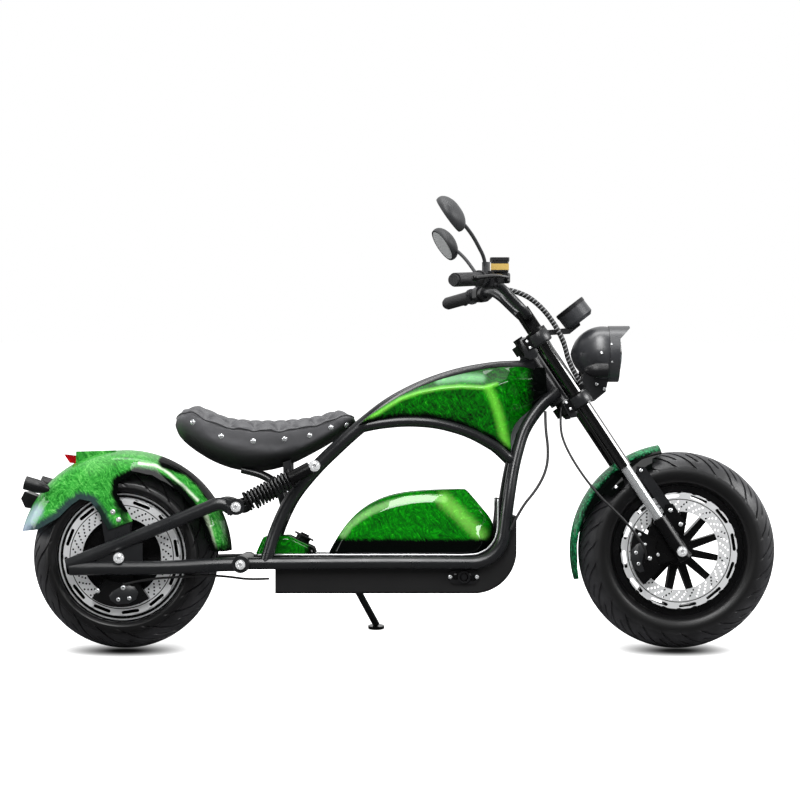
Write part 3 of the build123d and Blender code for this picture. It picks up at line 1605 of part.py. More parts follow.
# the skirt is shallow, with two deeper tabs that take the bolts
front_guard_side = [
    (198, 258), (190, 254), (177, 252), (170, 251), (160, 244), (150, 237), (143.5, 236),
    (141.5, 213), (129.5, 213), (127.5, 236), (121, 236), (119, 213), (108.5, 213),
    (106.5, 237), (103, 240), (98, 246), (98, 300), (120, 300), (140, 300), (160, 300),
    (180, 300), (198, 300),
]
with BuildPart() as front_guard:
    add(
        guard_shell(
            front_axle_x,
            front_axle_z,
            front_guard_radius,
            front_guard_half_width,
            front_guard_skirt,
            front_guard_start,
            front_guard_end,
        )
    )
    with BuildSketch(side_plane(front_guard_half_width + 5)):
        Polygon(*round_wheel(front_axle_x, front_axle_z, front_guard_side), align=None)
    extrude(amount=2 * front_guard_half_width + 10, mode=Mode.INTERSECT)
front_guard.part.label = "front_guard"

with BuildPart() as guard_braces:
    with BuildSketch(side_plane(brace_y)):
        Polygon(
            (584, 454), (604, 452), (612, 441), (700, 317), (694, 301), (680, 302), (590, 429),
            (582, 441), align=None,
        )
    extrude(amount=brace_y - front_guard_half_width - clamp_fit)
    mirror(about=Plane.XZ)
    add(
        guard_body(
            front_axle_x,
            front_axle_z,
            front_guard_radius + weld_gap,
            front_guard_half_width + weld_gap,
            front_guard_skirt,
            front_guard_start,
            front_guard_end,
        ),
        mode=Mode.SUBTRACT,
    )
guard_braces.part.label = "guard_braces"

with BuildPart() as front_caliper:
    add(caliper(front_axle_x, front_disc_y, front_axle_z, 188, 21, 13))
    carrier_y = front_disc_y - disc_thickness / 2 - 4.6
    with BuildSketch(side_plane(carrier_y)):
        with Locations((front_axle_x, front_axle_z)):
            Circle(20)
        Polygon(
            (front_axle_x - 6, front_axle_z + 20), (front_axle_x - 44, front_axle_z + 84),
            (front_axle_x - 66, front_axle_z + 84), (front_axle_x - 82, front_axle_z + 30),
            (front_axle_x - 70, front_axle_z - 40), (front_axle_x - 6, front_axle_z - 20),
            align=None,
        )
    extrude(amount=leg_y - lug_radius - clamp_fit * 2 + carrier_y)
    with BuildSketch(side_plane(carrier_y)):
        with Locations((front_axle_x, front_axle_z)):
            Circle(12 + clamp_fit)
    extrude(amount=20, mode=Mode.SUBTRACT)
front_caliper.part.label = "front_caliper"

# ---------------------------------------------------------------- side stand
ground = Plane(origin=(0, 0, 0), x_dir=(1, 0, 0), z_dir=(0, -sin(lean), cos(lean)))
foot_centre = Vector(stand_foot_x, stand_foot_y, stand_foot_y * tan(lean))
leg_end = foot_centre + ground.z_dir * (stand_pad_height + 3)
leg_line = (leg_end - stand_pivot).normalized()
stowed_line = Vector(-1.0, 0.10, -0.06).normalized()
stand_axis = leg_line.cross(stowed_line).normalized()
stand_turn = leg_line.get_angle(stowed_line)
pivot_plane = Plane(origin=stand_pivot, x_dir=leg_line, z_dir=stand_axis)
with BuildPart() as side_stand:
    with BuildSketch(pivot_plane.offset(-stand_eye_length / 2)):
        Circle(stand_eye_radius)
    extrude(amount=stand_eye_length)
    add(swept_tube([tuple(stand_pivot), tuple(leg_end)], stand_leg_radius))
    with BuildSketch(Plane(origin=foot_centre, x_dir=(1, 0, 0), z_dir=ground.z_dir)):
        Circle(stand_pad_radius)
    extrude(amount=stand_pad_height)
    chamfer(side_stand.edges().filter_by(GeomType.CIRCLE).group_by(Axis.Z)[0], 1)
    with BuildSketch(pivot_plane.offset(-stand_leg_radius - 1)):
        Circle(stand_eye_radius + 2)
    extrude(amount=stand_leg_radius + 1 - stand_eye_length / 2, mode=Mode.SUBTRACT)
    with BuildSketch(pivot_plane.offset(stand_eye_length / 2)):
        Circle(stand_eye_radius + 2)
    extrude(amount=stand_leg_radius, mode=Mode.SUBTRACT)
    with BuildSketch(pivot_plane.offset(-stand_eye_length)):
        Circle(stand_pin_radius + hub_bore_gap)
    extrude(amount=2 * stand_eye_length, mode=Mode.SUBTRACT)
side_stand.part.label = "side_stand"

# the stand's pivot: a pin through the eye, and a block that hangs from the rail
with BuildPart() as stand_bracket:
    pin_low = -stand_eye_length / 2 - stand_gap
    with BuildSketch(pivot_plane.offset(pin_low - 12)):
        Circle(stand_eye_radius)
    extrude(amount=12)
    with BuildSketch(pivot_plane.offset(pin_low - 12)):
        Circle(stand_pin_radius)
    extrude(amount=stand_eye_length + 2 * stand_gap + 12)
    with BuildSketch(pivot_plane.offset(stand_eye_length / 2 + stand_gap)):
        Circle(stand_pin_radius + 5)
    extrude(amount=5)
    with BuildSketch(section_plane(stand_pivot.X - 13)):
        Polygon((93, 214), (104, 214), (104, 182), (111, 168), (98, 160), (93, 170), align=None)
    extrude(amount=26)
    add(cradle_cutter.part, mode=Mode.SUBTRACT)
stand_bracket.part.label = "stand_bracket"


# --------------------------------------------------------------------- hoses
def hose(name, points, diameter):
    """A hose along its route; prints its radii and compares its volume."""
    radii = bend_radii(points)
    print(name, "radii", [round(r, 1) for r in radii])
    body = swept_tube(points, diameter / 2)
    with BuildLine() as route:
        FilletPolyline(*points, radius=radii)
    length = sum(edge.length for edge in route.edges())
    share = body.volume / (3.14159265 * diameter**2 / 4 * length)
    print(name, "length", round(length, 1), "volume share", round(share, 5))
    return body


front_hose_route = [
    (399.8, -52, 599.2),
    (394, -62, 552),
    (408, -84, 500),
    (446, -108, 434),
    (492, -122, 376),
    (542, -127, 330),
    (582, -122, 282),
    (604, -108, 246),
    (606, -92, 226),
]
with BuildPart() as front_brake_hose:
    add(hose("front_brake_hose", front_hose_route, brake_hose_diameter))
front_brake_hose.part.label = "front_brake_hose"

frame_hose_route = [
    (360, -50, 590),
    (359, -66, 550),
    (366, -78, 496),
    (361, -90, 446),
    (336, -104, 398),
    (294, -121, 350),
    (271.3, -118.4, 300),
]
with BuildPart() as frame_hose:
    add(hose("frame_hose", frame_hose_route, frame_hose_diameter))
frame_hose.part.label = "frame_hose"

harness_route = [
    (262, -74, 890),
    (302, -62, 884),
    (350, -50, 850),
    (384, -46, 806),
    (408, -44, 760),
    (420, -40, 706),
    (452, -34.9, 656),
]
with BuildPart() as bar_harness:
    add(hose("bar_harness", harness_route, harness_diameter))
bar_harness.part.label = "bar_harness"

rear_hose_route = [
    (-678, -123.1, 165),
    (-640, -123.6, 174),
    (-588, -122, 181),
    (-530, -120, 184),
    (-470, -122, 188),
    (-418, -118, 184),
    (-368, -104, 176),
    (-322, -92, 178),
]
with BuildPart() as rear_brake_hose:
    add(hose("rear_brake_hose", rear_hose_route, brake_hose_diameter))
rear_brake_hose.part.label = "rear_brake_hose"

pieces = [
    front_tyre, front_rim, front_disc, rear_tyre, rear_rim, hub_motor, rear_disc, steering_head,
    cradle_tubes, top_tubes, arch_tubes, cross_tubes, tank_cover, inner_panel, deck_tray,
    battery_case, battery_pack, tunnel_cover, rear_cover, charge_fittings, seat, seat_frame,
    swing_arm, shock_bodies, shock_springs, arm_bolts, rear_guard, guard_brackets, tail_lamp,
    rear_indicators, rear_caliper, rear_axle, fork_outers, stanchions, fork_lugs, front_axle,
    top_clamp, lower_clamp, handlebar, grips, bar_controls, brake_levers, fluid_reservoir,
    mirror_shells, mirror_glass, speedometer, headlamp_shell, headlamp_lens, lamp_brackets,
    front_indicators, front_guard, guard_braces, front_caliper, side_stand, stand_bracket,
    front_brake_hose, frame_hose, bar_harness, rear_brake_hose,
]
for piece in pieces:
    piece.part.location = parked
    export_step(piece.part, "parts/" + piece.part.label + ".step")
print(len(pieces), "pieces")
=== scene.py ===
import bpy
import bmesh
import json
import math
from mathutils import Matrix, Vector
from mathutils.bvhtree import BVHTree


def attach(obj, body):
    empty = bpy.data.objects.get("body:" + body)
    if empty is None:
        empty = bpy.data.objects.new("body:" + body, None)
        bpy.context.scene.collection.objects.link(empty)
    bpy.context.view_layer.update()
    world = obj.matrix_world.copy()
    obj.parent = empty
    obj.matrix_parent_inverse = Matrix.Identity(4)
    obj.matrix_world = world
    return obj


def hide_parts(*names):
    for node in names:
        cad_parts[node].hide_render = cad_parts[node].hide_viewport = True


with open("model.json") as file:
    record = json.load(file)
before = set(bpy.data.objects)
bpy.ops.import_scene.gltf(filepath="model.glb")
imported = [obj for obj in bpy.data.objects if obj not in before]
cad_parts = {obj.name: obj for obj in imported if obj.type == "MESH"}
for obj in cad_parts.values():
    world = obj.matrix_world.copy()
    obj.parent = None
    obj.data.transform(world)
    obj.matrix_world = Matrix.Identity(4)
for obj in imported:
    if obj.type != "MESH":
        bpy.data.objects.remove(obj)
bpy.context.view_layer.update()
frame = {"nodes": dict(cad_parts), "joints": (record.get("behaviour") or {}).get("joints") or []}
nodes = frame["nodes"]
scene = bpy.context.scene
print("frame loaded:", len(nodes), "nodes")

stance = {"lean": 8.0, "shift": 0.140}  # degrees to the left, metres to the right
lean = math.radians(stance["lean"])
parked = Matrix.Translation((0, -stance["shift"], 0)) @ Matrix.Rotation(-lean, 4, "X")
fromMm = parked @ Matrix.Scale(0.001, 4)  # shapes are drawn upright in millimetres, then parked
toMm = fromMm.inverted()
hubs = {joint["child"]: toMm @ Vector(joint["pos_m"]) for joint in frame["joints"]}
frontHub, rearHub = hubs["front_wheel"], hubs["rear_wheel"]


def parkedWay(way):  # a direction on the upright machine, as it points when parked
    return (fromMm.to_3x3() @ Vector(way)).normalized()


def linear(code):  # sRGB hex to the linear colour that the shaders take
    parts = [int(code[i:i + 2], 16) / 255 for i in (1, 3, 5)]
    return (*(c / 12.92 if c <= 0.04045 else ((c + 0.055) / 1.055) ** 2.4 for c in parts), 1.0)


def perMetre(size):  # texture scale for a feature of this many millimetres
    return 1000 / size


class Web:  # the nodes of one material, node group or world
    def __init__(self, tree, shader=None):
        self.tree, self.shader = tree, shader

    def feed(self, socket, value):  # a node stands for its first output, a hex code for its colour
        if isinstance(value, bpy.types.Node):
            value = value.outputs[0]
        if isinstance(value, bpy.types.NodeSocket):
            self.tree.links.new(value, socket)
        elif isinstance(value, str) and value.startswith("#"):
            socket.default_value = linear(value)
        else:
            socket.default_value = value

    def add(self, kind, values=None, **settings):
        node = self.tree.nodes.new(kind)
        for key, value in settings.items():
            setattr(node, key, value)
        for key, value in (values or {}).items():
            self.feed(node.inputs[key], value)
        return node

    def set(self, **sockets):  # sockets of the shader, with _ for a space
        for key, value in sockets.items():
            self.feed(self.shader.inputs[key.replace("_", " ")], value)

    def number(self, operation, *terms):
        return self.add("ShaderNodeMath", dict(enumerate(terms)), operation=operation)

    def vector(self, operation, *terms, **named):
        values = {**dict(enumerate(terms)), **named}
        node = self.add("ShaderNodeVectorMath", values, operation=operation)
        isNumber = operation in ("LENGTH", "DISTANCE", "DOT_PRODUCT")
        return node.outputs["Value" if isNumber else "Vector"]

    def place(self):
        return self.add("ShaderNodeTexCoord").outputs["Object"]

    def upright(self):  # Object coordinates turned back to the upright machine
        values = {
            "Vector": self.place(), "Location": (0, -stance["shift"], 0), "Rotation": (-lean, 0, 0),
        }
        return self.add("ShaderNodeMapping", values, vector_type="TEXTURE")

    def noise(self, place, sizeMm, detail=2.0, **more):
        values = {"Vector": place, "Scale": perMetre(sizeMm), "Detail": detail, **more}
        return self.add("ShaderNodeTexNoise", values)

    def remap(self, source, low, high, first=0.0, last=1.0, kind="LINEAR"):
        ends = {"From Min": low, "From Max": high, "To Min": first, "To Max": last}
        return self.add("ShaderNodeMapRange", {"Value": source, **ends}, interpolation_type=kind)

    def mix(self, factor, first, second):
        values = {0: factor, 6: first, 7: second}
        return self.add("ShaderNodeMix", values, data_type="RGBA").outputs[2]

    def ramp(self, level, stops):  # stops are (place, hex colour)
        node = self.add("ShaderNodeValToRGB", {"Fac": level})
        elements = node.color_ramp.elements
        while len(elements) < len(stops):
            elements.new(0.5)
        for element, (place, code) in zip(elements, stops):
            element.position = place
            element.color = linear(code)
        return node

    def bump(self, height, strength, depthMm, **settings):
        values = {"Height": height, "Strength": strength, "Distance": depthMm * 0.001}
        self.set(Normal=self.add("ShaderNodeBump", values, **settings))

    def fromAxle(self, place, hub):  # distance in metres from a wheel's axle
        away = self.vector("SUBTRACT", place, (hub.x * 0.001, 0.0, hub.z * 0.001))
        return self.vector("LENGTH", self.vector("MULTIPLY", away, (1, 0, 1)))

    def nearLine(self, place, spots):  # distance in metres from a line through (x, z) spots in mm
        flat = self.vector("MULTIPLY", place, (1, 0, 1))
        nearest = None
        for (ax, az), (bx, bz) in zip(spots, spots[1:]):
            run = Vector((bx - ax, 0, bz - az)) * 0.001
            reach = self.vector("SUBTRACT", flat, (ax * 0.001, 0, az * 0.001))
            share = self.vector("DOT_PRODUCT", reach, tuple(run / run.length_squared))
            held = self.add("ShaderNodeClamp", {"Value": share})
            gap = self.vector("DISTANCE", reach, self.vector("SCALE", tuple(run), Scale=held))
            nearest = gap if nearest is None else self.number("MINIMUM", nearest, gap)
        return nearest


def startMaterial(name, colour, roughness, **sockets):
    material = bpy.data.materials.new(name)
    material.use_nodes = True
    web = Web(material.node_tree, material.node_tree.nodes["Principled BSDF"])
    web.material = material
    web.set(Base_Color=colour, Roughness=roughness, **sockets)
    return web


# a plain finish with fine grain, a little duller in patches
def grained(name, colour, roughness, specular, grainMm, depthMm, **sockets):
    web = startMaterial(name, colour, roughness, Specular_IOR_Level=specular, **sockets)
    place = web.place()
    web.bump(web.noise(place, grainMm), 0.6, depthMm)
    low, high = max(roughness - 0.05, 0.02), roughness + 0.07
    web.set(Roughness=web.remap(web.noise(place, 60, 3.0), 0.3, 0.7, low, high))
    return web.material


# candy lacquer over crystal paint: fine feathery strokes, lime to black-green, under clear coat
candy = {
    "strokes": ((18, 1.8), (68, 1.5), (128, 2.1)),  # degrees and millimetres
    "stretch": (0.16, 0.5, 1.0), "drift": 0.06, "driftMm": 70, "cloudMm": 80, "cloud": (0.4, -0.76),
    "ragged": (0.9, 0.45, 1.45),  # how far the strokes fray a fade, and where it starts and ends
    # lift and veil set how far painted highlights brighten and tint the strokes; edge is the colour
    # of painted shade, and the next key is the share of coat left in it
    "lift": 0.3, "veil": 0.55, "edge": "#030504", "shadeGloss": 0.3, "specular": 0.03,
}


# glints paint highlights and reflections into the colour; the overlays paint more highlights and
# reflections, and some dark edges; the shade lines paint shade
def candyPaint(name, stops, shade, glints=(), highlightsAndEdges=(), coat=1.0):
    web = startMaterial(
        name, "#14801F", 0.5, Specular_IOR_Level=0.0, Coat_Weight=coat, Coat_Roughness=0.03,
        Coat_IOR=1.65,
    )
    place = web.upright()
    warp = web.noise(place, candy["driftMm"]).outputs["Color"]
    moved = web.vector("ADD", place, web.vector("MULTIPLY", warp, (candy["drift"],) * 3))
    layers = []
    for degrees, strokeMm in candy["strokes"]:
        turned = web.add(
            "ShaderNodeVectorRotate", {"Vector": moved, "Angle": math.radians(degrees)},
            rotation_type="Y_AXIS",
        )
        drawn = web.vector("MULTIPLY", turned, candy["stretch"])
        layers.append(web.noise(drawn, strokeMm * 2, 3.0, Roughness=0.62))
    merged = web.number("ADD", web.number("MAXIMUM", layers[0], layers[1]), layers[2])
    cloud = web.number("MULTIPLY_ADD", web.noise(place, candy["cloudMm"]), *candy["cloud"])
    level = web.number("ADD", merged, cloud)

    def nearness(spots, solid, fade):  # 1 on the line, ragged by the strokes, 0 beyond the fade
        fray, start, end = candy["ragged"]
        away = web.nearLine(place, spots)
        ragged = web.number("MULTIPLY_ADD", layers[2], fade * fray * 0.001, away)
        low, high = (solid + fade * start) * 0.001, (solid + fade * end) * 0.001
        return web.remap(ragged, low, high, 1.0, 0.0, "SMOOTHSTEP")

    paintedHighlights = []
    for spots, solid, fade, strength, code in glints:  # painted highlights along the ridges lift the strokes towards lime
        near = nearness(spots, solid, fade)
        paintedHighlights.append((near, strength, code))
        level = web.number("MULTIPLY_ADD", near, strength * candy["lift"], level)
    colour = web.ramp(level, stops)
    for near, strength, code in paintedHighlights:
        colour = web.mix(web.number("MULTIPLY", near, strength * candy["veil"]), colour, code)
    for spots, solid, fade, strength, code in highlightsAndEdges:  # other colours laid over the strokes: painted highlights, painted reflections and dark edges
        highlightAndEdgeMask = web.number("MULTIPLY", nearness(spots, solid, fade), strength)
        colour = web.mix(highlightAndEdgeMask, colour, code)
    gloss = None
    for spots, solid, fade in shade:  # painted shade that follows a line in x and z, the coat dulled in it; one rear guard band is a painted dark reflection
        near = nearness(spots, solid, fade)
        colour = web.mix(near, colour, candy["edge"])
        bare = web.remap(near, 0.0, 1.0, 1.0, candy["shadeGloss"])
        gloss = bare if gloss is None else web.number("MULTIPLY", gloss, bare)
    web.set(
        Base_Color=colour, Coat_Weight=web.number("MULTIPLY", gloss, coat),
        Specular_IOR_Level=web.number("MULTIPLY", gloss, candy["specular"]),
    )
    return web.material


# the tank: deep wet green, painted lime highlights on the ridge and the fold, a painted pale
# reflection on the top facet, and painted shade, black, along the tubes and towards the steering
# head
ridge = [(-103, 555), (-61, 580), (0, 619), (49, 636), (98, 646), (147, 650), (206, 647),
         (236, 656)]
fold = [(218, 641), (230, 617), (243, 580), (252, 543), (260, 506)]
lowEdge = [(-92, 551), (-22, 566), (66, 568), (150, 549), (232, 508), (262, 482)]
tankPaint = candyPaint(
    "candyGreenTankLacquer",
    [(0.20, "#001A00"), (0.38, "#003E02"), (0.56, "#005E02"), (0.76, "#048604"), (1.0, "#58CC34")],
    # painted shade along the arch tube and towards the steering head
    [(lowEdge, 11, 15), ([(366, 700), (366, 600)], 34, 28)],
    # a painted pale reflection on the top facet and painted highlights on the ridge and the fold
    [([(96, 668), (150, 674), (200, 672)], 2, 16, 0.7, "#A9D6B4"), (ridge, 0, 9, 0.85, "#8FE057"),
     (fold, 0, 19, 0.8, "#7FD248")],
    coat=0.45,
)
# the battery cover: the same green a shade lighter, with painted highlights on its bevel and front
# facet, and painted shade, black, at the foot and the front lower corner
bow = [(-141, 284), (-124, 309), (-97, 329), (-66, 346), (-24, 363), (26, 373), (74, 377),
       (108, 373)]
dive = [(108, 373), (129, 352), (154, 328), (180, 303), (203, 281)]
tunnelPaint = candyPaint(
    "candyGreenCoverLacquer",
    [(0.16, "#002A02"), (0.36, "#004E04"), (0.54, "#016C04"), (0.74, "#0A920A"), (1.0, "#60CC3C")],
    # painted shade at the foot and the front lower corner
    [([(-190, 231), (240, 231)], 38, 14), ([(246, 322), (232, 262)], 8, 22)],
    # painted highlights on the bevel and the front facet
    [(bow, 3, 10, 0.6, "#B5DE9C"), (dive, 2, 26, 0.65, "#9AD864")], coat=0.7,
)
# the rear guard: pale frosted green with painted highlights, painted shade, black, along the arch
# and over the front, a painted dark reflection by the crown, a painted blue-grey reflection at its
# tail and a dark blue-grey lip
archEdge = [(-672, 352), (-694, 388), (-690, 416), (-647, 438), (-608, 433), (-542, 394),
            (-500, 342), (-478, 293), (-462, 246)]
tailEdge = [(-948, 292), (-888, 299), (-836, 329), (-806, 359), (-784, 374), (-758, 368),
            (-738, 340), (-714, 298)]
archLight = [(-640, 462), (-603, 457), (-579, 446), (-554, 425), (-529, 403), (-497, 371)]
guardPaint = candyPaint(
    "candyGreenGuardLacquer",
    [(0.20, "#14561A"), (0.38, "#237A26"), (0.54, "#389838"), (0.72, "#5FB454"), (0.92, "#9AD48A")],
    # painted shade along the wheel arch, at the foot of the front and down its front edge
    [(archEdge, 9, 13), ([(-470, 238), (-412, 238)], 8, 24),
     ([(-446, 378), (-424, 320), (-410, 250)], 8, 16),
     # a painted dark reflection near the crown
     ([(-572, 470), (-517, 452), (-480, 418), (-462, 390)], 20, 8)],
    # a faint painted highlight along the crown
    [([(-760, 452), (-700, 476), (-640, 478), (-590, 462)], 2, 30, 0.1, "#CBEBC0")],
    # a dark blue-grey lip along the tail and dark edges on the bracket plate
    [(tailEdge, 9, 15, 0.95, "#28303A"),
     ([(-738, 351), (-711, 302), (-663, 311), (-694, 360)], 3, 9, 0.8, "#0C1A10"),
     # painted highlights down the arch and the front, and a painted blue-grey reflection at the
     # tail
     (archLight, 0, 6, 0.8, "#E6F5DB"),
     ([(-482, 349), (-468, 300), (-456, 250)], 3, 7, 0.9, "#DDF3CF"),
     ([(-940, 292), (-892, 345)], 2, 26, 0.7, "#9FB0C4")],
    coat=0.35,
)
# the front guard: bluer than the rest, with painted shade, black, over its side skirt below the
# teal crown
skirtShade = {"radius": 224, "first": 92, "last": 209, "step": 13}  # degrees round the axle
arc = [
    (frontHub.x + skirtShade["radius"] * math.cos(math.radians(a)),
     frontHub.z + skirtShade["radius"] * math.sin(math.radians(a)))
    for a in range(skirtShade["first"], skirtShade["last"], skirtShade["step"])
]
tealPaint = candyPaint(
    "candyTealGuardLacquer",
    [(0.30, "#03190F"), (0.42, "#0A4A2C"), (0.54, "#147A46"), (0.68, "#2FA267"), (0.86, "#74D3A0")],
    # painted shade over the side skirt
    [(arc, 26, 9)], coat=0.35,
)

# powder-coated steel tube: satin black with very slight orange peel
tubeCoat = grained("satinBlackPowderCoat", "#17181A", 0.30, 0.6, 1.6, 0.02)
# cast aluminium under gloss black paint
castBlack = grained("glossBlackCastAlloy", "#070708", 0.26, 0.4, 2.4, 0.06)
# the same alloy left satin, lighter on its rounded edges
castSatin = grained("satinBlackCastAlloy", "#1B1C1E", 0.34, 0.6, 2.0, 0.04)
# anodised tube: deep black, tight highlights
anodised = grained(
    "blackAnodisedTube", "#060607", 0.16, 0.5, 0.8, 0.01, Coat_Weight=1.0, Coat_Roughness=0.05,
    Coat_IOR=2.0,
)
# hard chrome on a ground tube: mirror with fine rings
chrome = grained("hardChromePlate", "#E2E4E6", 0.18, 0.5, 0.9, 0.008, Metallic=0.78)
# zinc-plated steel fasteners: pale and slightly dull
zinc = grained("zincPlatedSteel", "#DCDEDF", 0.34, 0.5, 0.8, 0.02, Metallic=0.8)
# textured sheet-steel box, powder coated matt
caseCoat = grained("mattBlackCaseCoat", "#141415", 0.50, 0.3, 1.1, 0.10)
# moulded ABS covers, grained
blackPlastic = grained("mouldedBlackAbs", "#111113", 0.38, 0.35, 0.9, 0.06)
# grey painted panel with a soft gloss
greyPanel = grained(
    "graphiteSemiGlossPanel", "#8A8D90", 0.30, 0.5, 2.0, 0.03, Coat_Weight=0.5, Coat_Roughness=0.12,
)
# satin headlamp shell with a broad pale highlight
lampCoat = grained("satinBlackLampCoat", "#2C2D30", 0.34, 0.8, 1.2, 0.02)
# moulded EPDM rubber: dull black
hoseRubber = grained("smoothHoseRubber", "#1A1A1B", 0.50, 0.5, 1.0, 0.04)
# painted spring wire: black with a bright line along each coil
springSteel = grained("blackSpringSteel", "#101112", 0.26, 0.6, 1.4, 0.03)
# turned and polished lips, near white where they catch the light
brightLip = grained("polishedLipSteel", "#E8EAEB", 0.30, 0.5, 1.2, 0.006, Metallic=0.6)
# moulded mirror shells: even, soft sheen
mirrorCoat = grained("mattBlackMirrorShell", "#2A2B2D", 0.55, 0.5, 1.2, 0.001)
# polished stainless heads, bright against the plated ones
polished = grained("polishedStainlessHead", "#EDEEEF", 0.16, 0.5, 1.2, 0.004, Metallic=0.55)
# printed dial and its marks: flat black and flat white
dialFace = grained("mattDialFace", "#0A0A0B", 0.5, 0.5, 1.0, 0.004)
whiteMark = grained("whiteDialMark", "#E8E8E4", 0.5, 0.5, 1.0, 0.004)
# brake fluid seen through its tub: clear honey yellow
amberFluid = grained("amberBrakeFluid", "#B89C58", 0.12, 0.5, 4.0, 0.002, Coat_Weight=0.6)
# silvered glass: a pale mirror
mirrorGlass = grained("silveredMirrorGlass", "#EEF0F1", 0.08, 0.5, 3.0, 0.001, Metallic=0.5)
# shrink wrap round the cells: satin blue
cellWrap = grained("batteryWrap", "#1F3F74", 0.45, 0.5, 2.0, 0.04)


# ground stainless brake disc: bright, with fine circular grinding lines round its own axle and a
# dark ring in its groove, painted shade
def discFinish(name, hub, grooveMm=127, grooveHalf=1.1, lineMm=1.3):
    web = startMaterial(name, "#ECEDEE", 0.40, Metallic=0.65)
    radius = web.fromAxle(web.upright(), hub)
    along = web.number("MULTIPLY", radius, perMetre(lineMm))
    rings = web.add(
        "ShaderNodeTexNoise", {"W": along, "Scale": 1.0, "Detail": 2.0}, noise_dimensions="1D",
    )
    # painted shade: the groove is coloured dark
    grooveShade = web.number("COMPARE", radius, grooveMm * 0.001, grooveHalf * 0.001)
    web.set(
        Roughness=web.remap(rings, 0.3, 0.7, 0.36, 0.50),
        Base_Color=web.mix(grooveShade, "#ECEDEE", "#101011"),
    )
    web.bump(rings, 0.5, 0.06)
    return web.material


# tyre rubber: dark grey, paler in patches over the tread: painted sheen, with some dust
def tyreFinish(name, hub, paleFrom=52, paleTo=8):
    web = startMaterial(name, "#121213", 0.40, Specular_IOR_Level=0.5)
    place = web.upright()
    radius = web.fromAxle(place, hub)
    # the pale band over the tread is a painted sheen with some dust
    treadBand = web.remap(radius, (hub.z - paleFrom) * 0.001, (hub.z - paleTo) * 0.001)
    dustAndSheen = web.number("MULTIPLY", treadBand, web.noise(place, 45, 3.0))
    web.set(Base_Color=web.mix(dustAndSheen, "#0B0B0C", "#47474A"))
    web.bump(web.noise(place, 1.2, 3.0), 0.5, 0.12)
    return web.material


# pebbled vinyl leather: charcoal, soft sheen, paler where it is rubbed, and painted shade on the
# faces that turn downward
def leatherFinish(name):
    web = startMaterial(name, "#2E2E30", 0.44, Specular_IOR_Level=0.4)
    place = web.upright()
    pebbles = web.add(
        "ShaderNodeTexVoronoi", {"Vector": place, "Scale": perMetre(1.9), "Randomness": 0.9},
        feature="SMOOTH_F1",
    )
    web.bump(web.number("MULTIPLY_ADD", pebbles, -0.8, web.noise(place, 22, 5.0)), 0.45, 0.45)
    dyed = web.mix(web.noise(place, 70, 3.0), "#404043", "#5A5A5C")
    turned = web.add(
        "ShaderNodeSeparateXYZ", {"Vector": web.add("ShaderNodeNewGeometry").outputs["Normal"]},
    )
    # painted shade: faces turning downward get darker
    under = web.remap(turned.outputs["Z"], -0.75, 0.05, kind="SMOOTHSTEP")
    web.set(Base_Color=web.mix(under, "#1B1B1C", dyed))
    return web.material


# soft grip rubber with a pressed diamond mesh
def gripFinish(name):
    web = startMaterial(name, "#1B1B1D", 0.55)
    cells = web.add(
        "ShaderNodeTexVoronoi",
        {"Vector": web.upright(), "Scale": perMetre(3.4), "Randomness": 0.15},
        feature="DISTANCE_TO_EDGE",
    )
    web.bump(cells, 0.8, 1.2)
    return web.material


# lamp plastics and glass: clear, or tinted with a deep colour
def clearFinish(name, colour, roughness, depthMm, weight=1.0):
    web = startMaterial(name, colour, roughness, Transmission_Weight=weight, IOR=1.5)
    web.bump(web.noise(web.place(), 6, 1.0), 0.3, depthMm)
    return web.material


# braided sleeve: pale ribs of yarn round a dark harness
def sleeveFinish(name, way=(0.63, 0.0, -0.78), ribMm=9.0):
    web = startMaterial(name, "#202022", 0.52)
    along = web.vector("DOT_PRODUCT", web.place(), way)
    wave = web.number("SINE", web.number("MULTIPLY", along, math.tau * perMetre(ribMm)))
    yarn = web.remap(wave, 0.5, 0.95, 1.0, 0.0)
    web.set(Base_Color=web.mix(yarn, "#8A8B8D", "#0A0A0B"))
    web.bump(yarn, 0.7, 0.8, invert=True)
    return web.material


